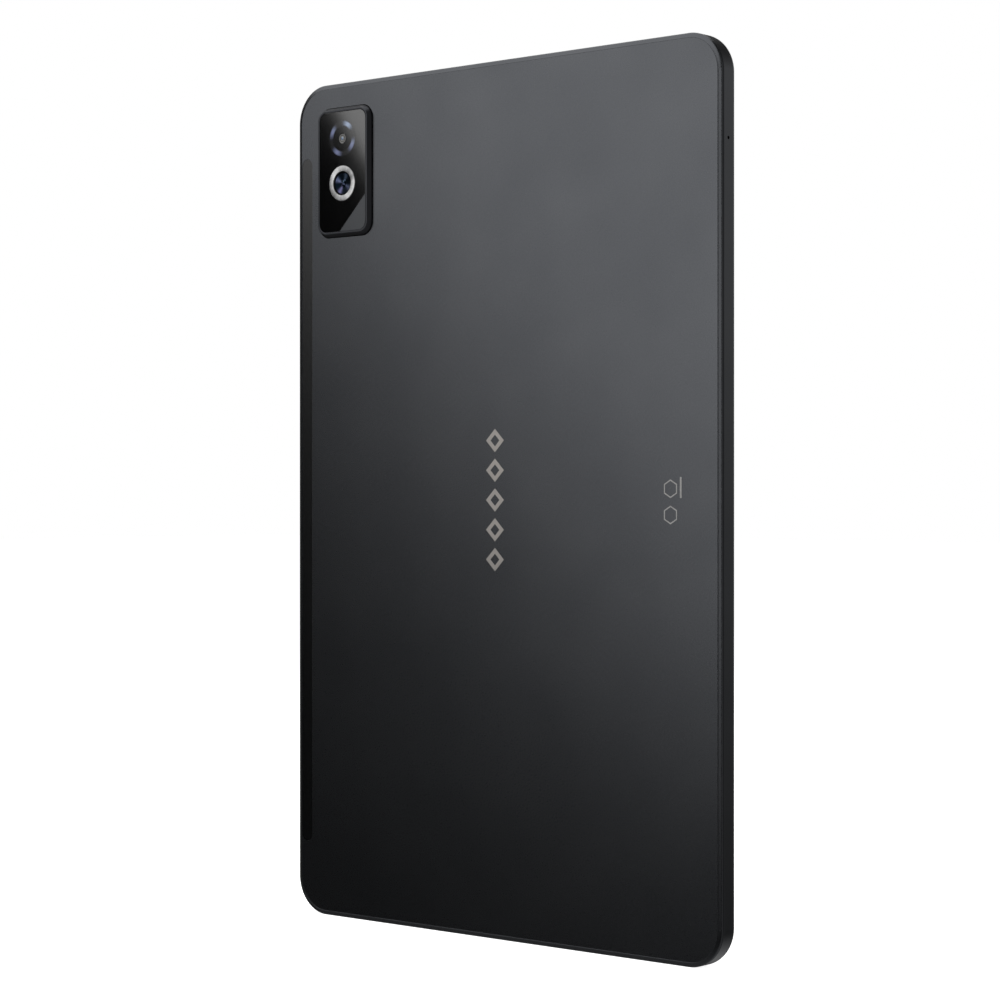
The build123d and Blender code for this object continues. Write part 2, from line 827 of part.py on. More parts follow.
def make_shield(x, z):
    """Pressed steel can over a group of chips, open below."""
    can = slab(x, z, 2.1, board_top, 0.6)
    inside = slab((x[0] + 0.2, x[1] - 0.2), (z[0] + 0.2, z[1] - 0.2), 2.3, board_top + 1, 0.4)
    return can - inside


shields = {
    "shield_can_processor": ((45.0, 66.0), (112.0, 144.0)),
    "shield_can_power": ((48.0, 72.0), (171.0, 184.0)),
    "shield_can_radio": ((45.0, 68.0), (187.0, 199.0)),
}


def make_board_chips():
    """Processor, memory, storage, power and radio chips under the shields."""
    places = [
        ((48.0, 62.0), (115.0, 127.5)),
        ((48.5, 60.0), (129.5, 141.0)),
        ((51.0, 58.0), (174.0, 181.0)),
        ((62.0, 68.0), (174.5, 180.5)),
        ((48.0, 56.0), (190.0, 196.0)),
        ((60.0, 65.0), (190.5, 195.5)),
    ]
    return Compound([slab(x, z, 2.5, board_top) for x, z in places])


def make_board_connectors():
    """Low sockets that the ribbons and the battery lead press into."""
    places = [
        ((38.5, 41.5), (145.0, 155.0), 2.975),
        ((38.2, 41.8), (190.5, 196.0), 2.4),
        ((56.0, 61.0), (199.5, 202.5), 2.9),
        ((68.0, 71.5), (213.7, 216.3), 3.1),
        ((38.0, 43.0), (110.5, 113.5), 3.1),
        ((6.5, 11.5), (12.0, 15.0), 3.1),
        ((65.3, 67.7), (108.6, 111.2), antenna_bottom + 2 * coax_radius),
    ]
    return Compound([slab(x, z, top, board_top) for x, z, top in places])


def make_sub_board():
    """Small board for the USB socket and the lower microphone."""
    board = slab((-sub_half, sub_half), (wall + 0.3, sub_high), board_top, board_bottom, 0.8)
    notch = usb_width / 2 + 0.15
    board -= slab((-notch, notch), (0, usb_sunk + usb_length + 0.15), 3, 5)
    for x, z in board_posts()[5:]:
        board -= disc(x, z, screw_radius + 0.1, 3, 5)
    return board


def make_link_flex():
    """Ribbon between the small board and the main board, beside the battery."""
    low = 2.95
    high = 3.1
    up = slab((7.0, 11.0), (12.0, 25.0), low, high)
    across = slab((7.0, 35.0), (21.0, 25.0), low, high)
    climb = slab((31.0, 35.0), (21.0, 114.0), low, high)
    end = slab((31.0, 43.0), (110.0, 114.0), low, high)
    return up + across + climb + end


def make_board_screws():
    """Pan head screws with a cross recess, one in each post."""
    screws = []
    for x, z in board_posts():
        screw = disc(x, z, 1.25, board_top - 0.45, board_top)
        screw += disc(x, z, screw_radius - 0.02, board_top, screw_depth - 0.1)
        for turn in (0, 90):
            bar = Pos(x, z) * Rot(0, 0, turn) * Rectangle(1.3, 0.28)
            screw -= prism(bar, board_top - 1, board_top - 0.2)
        screws.append(screw)
    return Compound(screws)


def make_thermal_sheet():
    """Graphite sheet on the inside of the cover, over the shields."""
    return slab((43.0, 71.0), (108.0, 146.0), cover_depth, cover_depth + 0.1, 1.0)


def make_antenna(z):
    """Copper antenna foil on a plastic carrier under the antenna window."""
    carrier = slab((71.0, 75.3), z, cover_depth, antenna_bottom, 0.4)
    return carrier - slab((71.8, 74.5), (z[0] + 2, z[1] - 2), 1.2, 2, 0.3)


def make_antenna_cable():
    """Thin coaxial cable from its socket on the main board to the antenna, in long easy bends."""
    y = back_y - antenna_bottom - coax_radius
    places = [(66.5, 110.0), (66.5, 100.0), (69.4, 90.0), (69.4, 79.0), (72.6, 68.5), (72.6, 57.0)]
    route = [Vector(x, y, z) for x, z in places]
    radii = []
    for before, corner, after in zip(route, route[1:], route[2:]):
        turn = (corner - before).get_angle(after - corner)
        shorter = min((corner - before).length, (after - corner).length)
        radii.append(0.45 * shorter / tan(radians(turn / 2)))
    path = FilletPolyline(*route, radius=radii)
    start = Plane(origin=path @ 0, z_dir=path % 0)
    return sweep(start * Circle(coax_radius), path=path)


def make_parts():
    """Every piece by the name of its node."""
    parts = {
        "rear_cover": make_rear_cover(),
        "antenna_window": make_antenna_window(),
        "mid_frame": make_mid_frame(),
        "usb_port_shell": make_usb_shell(),
        "usb_port_tongue": make_usb_tongue(),
        "usb_port_contacts": make_usb_contacts(),
        "volume_rocker": make_volume_rocker(),
        "power_button": make_power_button(),
        "dome_switches": make_dome_switches(),
        "key_flex": make_key_flex(),
        "key_brackets": make_key_brackets(),
        "card_tray": make_card_tray(),
        "card_tray_seal": make_tray_seal(),
        "card_reader": make_card_reader(),
        "eject_rod": make_eject_rod(),
        "eject_lever": make_eject_lever(),
        "eject_lever_pivot": make_eject_pivot(),
        "speaker_meshes": make_speaker_meshes(),
        "side_microphone": make_side_microphone(),
        "bottom_microphone": make_bottom_microphone(),
        "camera_bezel": make_camera_bezel(),
        "camera_glass": make_camera_glass(),
        "camera_corner_plate": make_camera_corner_plate(),
        "lens_ring": make_lens_ring(),
        "lens_disc": make_lens_disc(),
        "lens_element": make_lens_element(),
        "lens_barrel": make_lens_barrel(),
        "camera_gasket": make_camera_gasket(),
        "rear_camera_module": make_rear_camera(),
        "flash_lens": make_flash_lens(),
        "flash_led": make_flash_led(),
        "cover_glass": make_cover_glass(),
        "display_adhesive": make_display_adhesive(),
        "display_panel": make_display_panel(),
        "backlight_tray": make_backlight_tray(),
        "light_guide": make_light_guide(),
        "front_camera_module": make_front_camera(),
        "light_sensor": make_light_sensor(),
        "display_flex": make_display_flex(),
        "battery_cell_lower": make_battery_cell(0),
        "battery_cell_upper": make_battery_cell(1),
        "battery_adhesive_strips": make_battery_adhesive(),
        "battery_protection_board": make_battery_board(),
        "battery_lead": make_battery_lead(),
        "main_board": make_main_board(),
        "board_chips": make_board_chips(),
        "board_connectors": make_board_connectors(),
        "sub_board": make_sub_board(),
        "board_link_flex": make_link_flex(),
        "board_screws": make_board_screws(),
        "thermal_sheet": make_thermal_sheet(),
        "antenna_lower": make_antenna((36.0, 96.0)),
        "antenna_cable": make_antenna_cable(),
    }
    for name, (x, z) in shields.items():
        parts[name] = make_shield(x, z)
    for side, side_name in ((-1, "left"), (1, "right")):
        for end, end_name in ((-1, "lower"), (1, "upper")):
            parts[f"speaker_{end_name}_{side_name}"] = make_speaker(side, end)
    return parts


os.makedirs("parts", exist_ok=True)
for name, shape in make_parts().items():
    export_step(shape, f"parts/{name}.step")
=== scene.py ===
from math import cos, pi, radians, sin

import bmesh
import bpy
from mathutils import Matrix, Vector


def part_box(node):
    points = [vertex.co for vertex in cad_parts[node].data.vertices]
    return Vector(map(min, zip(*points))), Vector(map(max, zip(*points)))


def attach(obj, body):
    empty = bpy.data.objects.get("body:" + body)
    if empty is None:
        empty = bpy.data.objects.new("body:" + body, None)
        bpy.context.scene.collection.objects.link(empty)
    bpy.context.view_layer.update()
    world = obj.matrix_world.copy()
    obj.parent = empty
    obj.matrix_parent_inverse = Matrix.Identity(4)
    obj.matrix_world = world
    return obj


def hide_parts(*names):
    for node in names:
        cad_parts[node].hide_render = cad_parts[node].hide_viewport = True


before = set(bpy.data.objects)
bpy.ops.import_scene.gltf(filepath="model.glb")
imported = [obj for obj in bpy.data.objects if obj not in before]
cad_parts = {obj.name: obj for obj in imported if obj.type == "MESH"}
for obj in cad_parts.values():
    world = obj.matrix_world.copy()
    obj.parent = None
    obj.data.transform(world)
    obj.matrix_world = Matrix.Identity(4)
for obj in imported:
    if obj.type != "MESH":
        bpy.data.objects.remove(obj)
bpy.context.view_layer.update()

mm = 0.001
print("frame loaded:", len(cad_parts), "nodes")


# small modelling helpers

def deselectAll():
    if bpy.context.mode != "OBJECT":
        bpy.ops.object.mode_set(mode="OBJECT")
    bpy.ops.object.select_all(action="DESELECT")


def makeActive(piece):
    deselectAll()
    piece.select_set(True)
    bpy.context.view_layer.objects.active = piece


def editNew(name):
    # the primitive that was just added gets its name and goes into edit mode, all selected
    piece = bpy.context.object
    piece.name = name
    piece.data.name = name
    bpy.ops.object.transform_apply(location=True, rotation=True, scale=True)
    bpy.ops.object.mode_set(mode="EDIT")
    bpy.ops.mesh.select_all(action="SELECT")
    return piece


facings = {
    "back": (-pi / 2, 0, 0),
    "front": (pi / 2, 0, 0),
    "right": (pi / 2, 0, pi / 2),
    "left": (pi / 2, 0, -pi / 2),
    "up": (0, 0, 0),
    "down": (pi, 0, 0),
}


def addPanel(name, place, size, corner, facing="back", segments=24):
    # a flat panel with round corners
    deselectAll()
    bpy.ops.mesh.primitive_plane_add(size=1, location=place, rotation=facings[facing])
    bpy.context.object.scale = (size[0], size[1], 1)
    piece = editNew(name)
    bpy.ops.mesh.bevel(offset=corner, segments=segments, affect="VERTICES", profile=0.5, clamp_overlap=False)
    bpy.ops.mesh.select_all(action="SELECT")
    bpy.ops.mesh.remove_doubles(threshold=1e-6)
    return piece


def addRound(name, place, radius, facing="back", sides=96):
    deselectAll()
    bpy.ops.mesh.primitive_circle_add(
        vertices=sides, radius=radius, fill_type="NGON", location=place, rotation=facings[facing]
    )
    return editNew(name)


def pull(x=0, y=0, z=0):
    bpy.ops.mesh.extrude_region_move(TRANSFORM_OT_translate={"value": (x, y, z)})


def inset(amount, out=0):
    bpy.ops.mesh.inset(thickness=amount, depth=out)


def pick(piece, kind, test):
    # selects edges or faces in edit mode by their middle and their direction
    bpy.ops.mesh.select_mode(type=kind)
    bpy.ops.mesh.select_all(action="DESELECT")
    mesh = bmesh.from_edit_mesh(piece.data)
    if kind == "FACE":
        for face in mesh.faces:
            face.select_set(test(face.calc_center_median(), face.normal))
    else:
        for edge in mesh.edges:
            a, b = (v.co for v in edge.verts)
            edge.select_set(test((a + b) / 2, (b - a).normalized()))
    mesh.select_flush_mode()
    bmesh.update_edit_mesh(piece.data)


def pickRim(piece, y):
    # the edges that lie at one depth
    pick(piece, "EDGE", lambda mid, way: abs(mid.y - y) < 1e-6 and abs(way.y) < 0.01)


def softenEdges(width, segments=3):
    bpy.ops.mesh.bevel(offset=width, segments=segments, profile=0.5, affect="EDGES", clamp_overlap=True)


def addModifier(piece, kind, **settings):
    makeActive(piece)
    bpy.ops.object.modifier_add(type=kind)
    modifier = piece.modifiers[-1]
    for key, value in settings.items():
        setattr(modifier, key, value)
    bpy.ops.object.modifier_apply(modifier=modifier.name)


def joinPieces(pieces, name):
    makeActive(pieces[0])
    for piece in pieces[1:]:
        piece.select_set(True)
    if len(pieces) > 1:
        bpy.ops.object.join()
    whole = bpy.context.object
    whole.name = name
    whole.data.name = name
    return whole


def cutAway(piece, cutters):
    cutter = joinPieces(cutters, "cutter")
    makeActive(cutter)
    bpy.ops.object.mode_set(mode="EDIT")
    bpy.ops.mesh.select_all(action="SELECT")
    bpy.ops.mesh.normals_make_consistent(inside=False)
    bpy.ops.object.mode_set(mode="OBJECT")
    addModifier(piece, "BOOLEAN", operation="DIFFERENCE", solver="EXACT", object=cutter)
    bpy.data.objects.remove(cutter)


def finishPiece(piece, material, body, nodes=(), angle=32):
    # outward normals, smooth shading that keeps the flats flat, then its material, body and nodes
    makeActive(piece)
    bpy.ops.object.mode_set(mode="EDIT")
    bpy.ops.mesh.select_all(action="SELECT")
    bpy.ops.mesh.remove_doubles(threshold=1e-7)
    bpy.ops.mesh.normals_make_consistent(inside=False)
    bpy.ops.object.mode_set(mode="OBJECT")
    bpy.ops.object.shade_smooth_by_angle(angle=radians(angle))
    addModifier(piece, "WEIGHTED_NORMAL", mode="FACE_AREA", weight=100, keep_sharp=True)
    piece.data.materials.clear()
    piece.data.materials.append(material)
    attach(piece, body)
    if nodes:
        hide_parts(*nodes)
    return piece


# material helpers

def newMaterial(name):
    material = bpy.data.materials.new(name)
    material.use_nodes = True
    tree = material.node_tree
    shader = next(n for n in tree.nodes if n.type == "BSDF_PRINCIPLED")
    return material, tree, shader


def addNode(tree, kind, settings=None, **inputs):
    # inputs are values or sockets, by name; in_0, in_1 ... set a socket by its number
    node = tree.nodes.new("ShaderNode" + kind)
    for key, value in (settings or {}).items():
        setattr(node, key, value)
    for key, value in inputs.items():
        socket = node.inputs[int(key[3:])] if key.startswith("in_") else node.inputs[key]
        if isinstance(value, bpy.types.NodeSocket):
            tree.links.new(value, socket)
        else:
            socket.default_value = value
    return node


def math(tree, operation, a, b=0.0):
    node = addNode(tree, "Math", {"operation": operation}, in_0=a, in_1=b)
    return node.outputs[0]


def mixColours(tree, factor, a, b):
    node = addNode(tree, "Mix", {"data_type": "RGBA"}, in_0=factor, in_6=a, in_7=b)
    return node.outputs[2]


def remap(tree, value, low, high, fromLow=0.0, fromHigh=1.0):
    node = addNode(
        tree, "MapRange", {"clamp": True}, in_0=value, in_1=fromLow, in_2=fromHigh, in_3=low, in_4=high
    )
    return node.outputs[0]


def noise(tree, coordinates, size, detail=3.0):
    node = addNode(tree, "TexNoise", Vector=coordinates, Scale=1 / size, Detail=detail)
    return node.outputs[0]


def objectPoint(tree):
    return addNode(tree, "TexCoord").outputs["Object"]


def aroundCentre(tree, centre):
    # distance from an axis along Y and the angle round it
    moved = addNode(tree, "VectorMath", {"operation": "SUBTRACT"}, in_0=objectPoint(tree), in_1=centre)
    parts = addNode(tree, "SeparateXYZ", Vector=moved.outputs[0])
    x, z = parts.outputs[0], parts.outputs[2]
    squares = math(tree, "ADD", math(tree, "MULTIPLY", x, x), math(tree, "MULTIPLY", z, z))
    return math(tree, "SQRT", squares), math(tree, "ARCTAN2", z, x)


def grainedMaterial(name, look):
    # fine grain for blasted metal, moulded plastic and printed parts
    material, tree, shader = newMaterial(name)
    point = objectPoint(tree)
    patches = noise(tree, point, look.get("patch", 30 * mm), 2.0)
    grain = noise(tree, point, look.get("grain", 0.25 * mm), 4.0)
    colour, other = look["colour"], look.get("other", look["colour"])
    mixed = mixColours(tree, remap(tree, patches, 0, 1, 0.3, 0.7), (*colour, 1), (*other, 1))
    specks = remap(tree, grain, 0, look.get("speckle", 0.15), 0.35, 0.7)
    speckled = mixColours(tree, specks, mixed, (*other, 1))
    tree.links.new(speckled, shader.inputs["Base Color"])
    rough = look["roughness"]
    spread = look.get("spread", 0.04)
    tree.links.new(remap(tree, grain, rough - spread, rough + spread, 0.3, 0.7), shader.inputs["Roughness"])
    bump = addNode(
        tree, "Bump", Strength=look.get("bump", 0.1), Distance=look.get("height", 0.01 * mm), Height=grain
    )
    tree.links.new(bump.outputs[0], shader.inputs["Normal"])
    shader.inputs["Metallic"].default_value = look.get("metallic", 0.0)
    shader.inputs["Specular IOR Level"].default_value = look.get("specular", 0.5)
    shader.inputs["Coat Weight"].default_value = look.get("coat", 0.0)
    shader.inputs["Coat Roughness"].default_value = look.get("coatRoughness", 0.05)
    return material


looks = {
    "blastedBack": {"colour": (0.052, 0.054, 0.058), "other": (0.046, 0.048, 0.052), "metallic": 1.0,
                    "roughness": 0.28, "grain": 0.16 * mm, "bump": 0.02, "spread": 0.012, "speckle": 0.04},
    "blastedFrame": {"colour": (0.05, 0.052, 0.056), "other": (0.043, 0.045, 0.049), "metallic": 1.0,
                     "roughness": 0.3, "grain": 0.16 * mm, "bump": 0.02, "spread": 0.015, "speckle": 0.05},
    "windowPlastic": {"colour": (0.0008, 0.0009, 0.001), "other": (0.0005, 0.0006, 0.0007), "roughness": 0.23,
                      "grain": 0.2 * mm, "bump": 0.02, "specular": 0.36, "spread": 0.02},
    "islandMetal": {"colour": (0.03, 0.031, 0.034), "other": (0.024, 0.025, 0.028), "metallic": 1.0,
                    "roughness": 0.32, "grain": 0.1 * mm, "bump": 0.08},
    "wedgeMetal": {"colour": (0.05, 0.052, 0.055), "other": (0.042, 0.044, 0.047), "metallic": 1.0,
                   "roughness": 0.4, "grain": 0.08 * mm, "bump": 0.12},
    "keyMetal": {"colour": (0.05, 0.052, 0.056), "other": (0.042, 0.044, 0.048), "metallic": 1.0,
                 "roughness": 0.34, "grain": 0.12 * mm, "bump": 0.1},
    "steelParts": {"colour": (0.55, 0.55, 0.54), "other": (0.42, 0.42, 0.42), "metallic": 1.0,
                   "roughness": 0.3, "grain": 0.3 * mm, "bump": 0.08},
    "goldContact": {"colour": (0.75, 0.5, 0.18), "other": (0.62, 0.4, 0.13), "metallic": 1.0,
                    "roughness": 0.28, "grain": 0.2 * mm, "bump": 0.05},
    "blackPlastic": {"colour": (0.012, 0.012, 0.013), "other": (0.018, 0.018, 0.019), "roughness": 0.45,
                     "grain": 0.15 * mm, "bump": 0.2},
    "softRubber": {"colour": (0.02, 0.02, 0.02), "other": (0.03, 0.03, 0.03), "roughness": 0.75,
                   "grain": 0.2 * mm, "bump": 0.3},
    "wovenMesh": {"colour": (0.01, 0.01, 0.01), "other": (0.05, 0.05, 0.05), "roughness": 0.6,
                  "grain": 0.12 * mm, "speckle": 0.9, "bump": 0.5},
    "circuitBoard": {"colour": (0.01, 0.05, 0.035), "other": (0.03, 0.09, 0.05), "roughness": 0.4,
                     "patch": 3 * mm, "grain": 0.4 * mm, "bump": 0.2, "coat": 0.4},
    "filmBrown": {"colour": (0.24, 0.1, 0.02), "other": (0.32, 0.15, 0.04), "roughness": 0.35,
                  "patch": 4 * mm, "grain": 0.3 * mm, "bump": 0.1},
    "cellFoil": {"colour": (0.05, 0.05, 0.055), "other": (0.08, 0.08, 0.085), "roughness": 0.4,
                 "patch": 12 * mm, "grain": 0.8 * mm, "bump": 0.2, "metallic": 0.6},
    "clearSheet": {"colour": (0.7, 0.71, 0.73), "other": (0.78, 0.79, 0.8), "roughness": 0.25,
                   "grain": 0.5 * mm, "bump": 0.03},
    "graphiteFilm": {"colour": (0.06, 0.06, 0.065), "other": (0.09, 0.09, 0.095), "roughness": 0.4,
                     "metallic": 0.7, "grain": 0.4 * mm, "bump": 0.15},
    "copperFoil": {"colour": (0.5, 0.2, 0.08), "other": (0.35, 0.13, 0.05), "metallic": 0.8,
                   "roughness": 0.35, "patch": 5 * mm, "grain": 0.4 * mm, "bump": 0.1},
}
finishes = {name: grainedMaterial(name, look) for name, look in looks.items()}
print("materials ready:", len(finishes))


# the shell

shell = {
    "corner": 10.9 * mm,
    "lineWidth": 0.09 * mm,  # fine line where the flat of the back ends
    "lineDepth": 0.03 * mm,
    "borderStep": 0.35 * mm,  # steeper inner part of the sloped border
    "borderStepDrop": 0.1 * mm,
    "borderSlope": 0.93 * mm,
    "borderSlopeDrop": 0.22 * mm,
    "borderRound": 0.28 * mm,
    "edgeHeight": 0.34 * mm,
    "grooveIn": 0.5 * mm,
    "grooveHeight": 0.3 * mm,
    "wall": 2.6 * mm,
    "backEdge": 0.22 * mm,
    "frontRound": 2.0 * mm,
    "ledgeIn": 2.5 * mm,
    "grooveAt": 0.95 * mm,  # behind the rear face
    "glassSeat": 0.85 * mm,
    "displayPocket": 1.15 * mm,
    "rearPocket": 3.94 * mm,
}
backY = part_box("rear_cover")[1].y
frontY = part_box("cover_glass")[0].y
shellLow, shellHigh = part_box("mid_frame")
middle = (shellLow + shellHigh) / 2
width, height = shellHigh.x - shellLow.x, shellHigh.z - shellLow.z


def depth(value):
    # a place that far behind the rear face
    return backY - value


def boxMiddle(node):
    low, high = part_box(node)
    return (low + high) / 2, high - low


def slotCutter(place, size, facing, reach):
    # a long hole with round ends; it runs both ways from its place
    cutter = addPanel("slotCutter", place, size, min(size) / 2, facing, 12)
    normal = bmesh.from_edit_mesh(cutter.data).faces[:][0].normal.copy()
    bpy.ops.transform.translate(value=normal * reach)
    pull(*(-2 * reach * normal))
    bpy.ops.object.mode_set(mode="OBJECT")
    return cutter


def makeBackPlate():
    drop = shell["borderStepDrop"] + shell["borderSlopeDrop"]
    plate = addPanel(
        "backPlate", (middle.x, depth(drop), middle.z), (width, height), shell["corner"], "back", 32
    )
    inset(shell["borderSlope"], shell["borderSlopeDrop"])
    inset(shell["borderStep"], shell["borderStepDrop"])
    inset(shell["lineWidth"] / 2, -shell["lineDepth"])
    inset(shell["lineWidth"] / 2, shell["lineDepth"])
    pickRim(plate, depth(drop))
    pull(y=-shell["edgeHeight"])
    bpy.ops.mesh.edge_face_add()
    pickRim(plate, depth(drop))
    softenEdges(shell["borderRound"], 5)
    pickRim(plate, depth(shell["borderStepDrop"]))
    softenEdges(0.1 * mm, 3)
    bpy.ops.object.mode_set(mode="OBJECT")
    strip, stripSize = boxMiddle("antenna_window")
    stripHole = slotCutter(
        (strip.x, backY, strip.z), (stripSize.x + 0.1 * mm, stripSize.z + 0.1 * mm), "back", 2 * mm
    )
    island, islandSize = islandPlace()
    gap = 0.4 * mm
    islandHole = addPanel(
        "islandHole", (island.x, depth(-2 * mm), island.z), (islandSize.x + gap, islandSize.z + gap),
        cameraIsland["corner"] + gap / 2, "back"
    )
    pull(y=-4 * mm)
    bpy.ops.object.mode_set(mode="OBJECT")
    cutAway(plate, [stripHole, islandHole])
    finishPiece(plate, finishes["blastedBack"], "chassis", ["rear_cover"])


def makeAntennaStrip():
    strip, size = boxMiddle("antenna_window")
    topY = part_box("antenna_window")[1].y
    piece = addPanel("antennaStrip", (strip.x, topY, strip.z), (size.x, size.z), size.x / 2, "back")
    pull(y=-0.6 * mm)
    pickRim(piece, topY)
    softenEdges(0.05 * mm, 2)
    finishPiece(piece, finishes["windowPlastic"], "chassis", ["antenna_window"])


# the frame ring, with its holes

holes = {
    "speakerSpacing": 2.05 * mm,
    "speakerCount": 9,
    "speakerMiddle": 36.0 * mm,
    "speakerRadius": 0.6 * mm,
    "micRadius": 0.45 * mm,
    "sideMicZ": 219.5 * mm,
    "lowerMicX": 13.5 * mm,
    "overrun": 0.6 * mm,  # how far a cutter passes the wall
    "keyGap": 0.15 * mm,
    "snugGap": 0.1 * mm,  # round the tray and the socket
    "socketReach": 8.6 * mm,
}
wallY = depth(3.05 * mm)


def holeCutter(place, radius, facing, reach):
    cutter = addRound("holeCutter", place, radius, facing, 24)
    normal = bmesh.from_edit_mesh(cutter.data).faces[:][0].normal.copy()
    bpy.ops.transform.translate(value=normal * reach)
    pull(*(-2 * reach * normal))
    bpy.ops.object.mode_set(mode="OBJECT")
    return cutter


def soundHoles():
    cutters = []
    reach = shell["wall"] + holes["overrun"]
    half = (holes["speakerCount"] - 1) / 2
    for side in (-1, 1):
        for i in range(holes["speakerCount"]):
            x = side * holes["speakerMiddle"] + (i - half) * holes["speakerSpacing"]
            for z, facing in ((shellLow.z, "down"), (shellHigh.z, "up")):
                cutters.append(holeCutter((x, wallY, z), holes["speakerRadius"], facing, reach))
    cutters.append(holeCutter((shellLow.x, wallY, holes["sideMicZ"]), holes["micRadius"], "left", reach))
    cutters.append(holeCutter((holes["lowerMicX"], wallY, shellLow.z), holes["micRadius"], "down", reach))
    return cutters


def keyHoles():
    reach = shell["wall"] + holes["overrun"]
    gap = 2 * holes["keyGap"]
    snug = 2 * holes["snugGap"]
    rocker, rockerSize = boxMiddle("volume_rocker")
    power, powerSize = boxMiddle("power_button")
    tray, traySize = boxMiddle("card_tray")
    socket, socketSize = boxMiddle("usb_port_shell")
    return [
        slotCutter((shellHigh.x, wallY, rocker.z), (keys["width"] + gap, rockerSize.z + gap), "right", reach),
        slotCutter(
            (power.x, wallY, shellHigh.z), (keys["powerLength"] + gap, keys["width"] + gap), "up", reach
        ),
        slotCutter((shellHigh.x, wallY, tray.z), (traySize.y + snug, traySize.z + snug), "right", reach),
        slotCutter(
            (socket.x, wallY, shellLow.z), (socketSize.x + snug, socketSize.y + snug), "down",
            holes["socketReach"]
        ),
    ]


def makeFrameRing():
    grooveY = depth(shell["grooveAt"])
    ring = addPanel("frameRing", (middle.x, grooveY, middle.z), (width, height), shell["corner"], "back", 32)
    pull(y=frontY - grooveY)
    pickRim(ring, frontY)
    bpy.ops.mesh.bevel(offset=shell["frontRound"], segments=14, profile=0.5, affect="EDGES")
    bpy.ops.mesh.select_all(action="SELECT")
    bpy.ops.mesh.normals_make_consistent(inside=False)
    # the front pocket, with a ledge for the glass
    pick(ring, "FACE", lambda mid, way: way.y < -0.99 and abs(mid.y - frontY) < 1e-5)
    pull(y=shell["glassSeat"])
    inset(shell["ledgeIn"])
    pull(y=shell["displayPocket"])
    # the spigot under the cover and the rear pocket
    pick(ring, "FACE", lambda mid, way: way.y > 0.99 and abs(mid.y - grooveY) < 1e-5)
    inset(shell["grooveIn"])
    pull(y=shell["grooveHeight"] - 0.01 * mm)
    inset(shell["wall"] - shell["grooveIn"])
    pull(y=-shell["rearPocket"])
    pick(
        ring, "EDGE",
        lambda mid, way: abs(mid.y - grooveY) < 1e-6 and abs(way.y) < 0.01 and onOutline(mid)
    )
    softenEdges(shell["backEdge"], 4)
    bpy.ops.object.mode_set(mode="OBJECT")
    cutAway(ring, soundHoles())
    cutAway(ring, keyHoles())
    finishPiece(ring, finishes["blastedFrame"], "chassis", ["mid_frame"])


def onOutline(point):
    # true for a point on the body's round-cornered outline
    reachX = width / 2 - shell["corner"]
    reachZ = height / 2 - shell["corner"]
    x = max(abs(point.x - middle.x) - reachX, 0)
    z = max(abs(point.z - middle.z) - reachZ, 0)
    return (x * x + z * z) ** 0.5 > shell["corner"] - 0.1 * mm


# the camera island

cameraIsland = {
    "corner": 4.0 * mm,
    "slopeIn": 0.8 * mm,
    "slopeUp": 1.25 * mm,
    "rim": 0.6 * mm,
    "seat": 0.65 * mm,
    "glassGap": 0.05 * mm,
    "cornerLeg": 10.65 * mm,
    "domeLean": 0.088,  # slopes of the glass: at its middle, and their change per metre
    "domeAcross": 2.66,
    "domeAlong": 2.9,
}


def islandPlace():
    # the flange under the cover is wider than what shows, so the size comes from the outer wall
    low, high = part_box("camera_bezel")
    flange = 1.2 * mm
    size = high - low - Vector((2 * flange, 0, 2 * flange))
    return (low + high) / 2, size


def makeIslandSurround():
    island, size = islandPlace()
    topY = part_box("camera_bezel")[1].y
    slopeY = topY - cameraIsland["slopeUp"]
    piece = addPanel(
        "islandSurround", (island.x, slopeY, island.z), (size.x, size.z), cameraIsland["corner"], "back"
    )
    inset(cameraIsland["slopeIn"], cameraIsland["slopeUp"])
    inset(cameraIsland["rim"])
    pull(y=-cameraIsland["seat"])
    inset(1.2 * mm)
    pull(y=-0.4 * mm)
    pickRim(piece, slopeY)
    pull(y=depth(0.7 * mm) - slopeY)
    bpy.ops.mesh.edge_face_add()
    pickRim(piece, slopeY)
    softenEdges(0.12 * mm, 3)
    pickRim(piece, topY)
    softenEdges(0.1 * mm, 3)
    finishPiece(piece, finishes["islandMetal"], "chassis", ["camera_bezel"])


def bisectCorner(piece, keepCorner):
    # cuts along the slanted line of the corner plate and drops one side
    island, size = islandPlace()
    edge = cameraIsland["slopeIn"] + cameraIsland["rim"]
    corner = Vector((island.x - size.x / 2 + edge, 0, island.z - size.z / 2 + edge))
    gap = 0.03 * mm * (-1 if keepCorner else 1)
    lineFoot = corner + Vector((cameraIsland["cornerLeg"] + gap, 0, 0))
    bpy.ops.mesh.select_all(action="SELECT")
    bpy.ops.mesh.bisect(
        plane_co=lineFoot, plane_no=(1, 0, 1), use_fill=False,
        clear_inner=not keepCorner, clear_outer=keepCorner
    )


def islandGlassPanel(name, topY):
    island, size = islandPlace()
    edge = cameraIsland["slopeIn"] + cameraIsland["rim"] + cameraIsland["glassGap"]
    return addPanel(
        name, (island.x, topY, island.z), (size.x - 2 * edge, size.z - 2 * edge),
        cameraIsland["corner"] - edge
    )


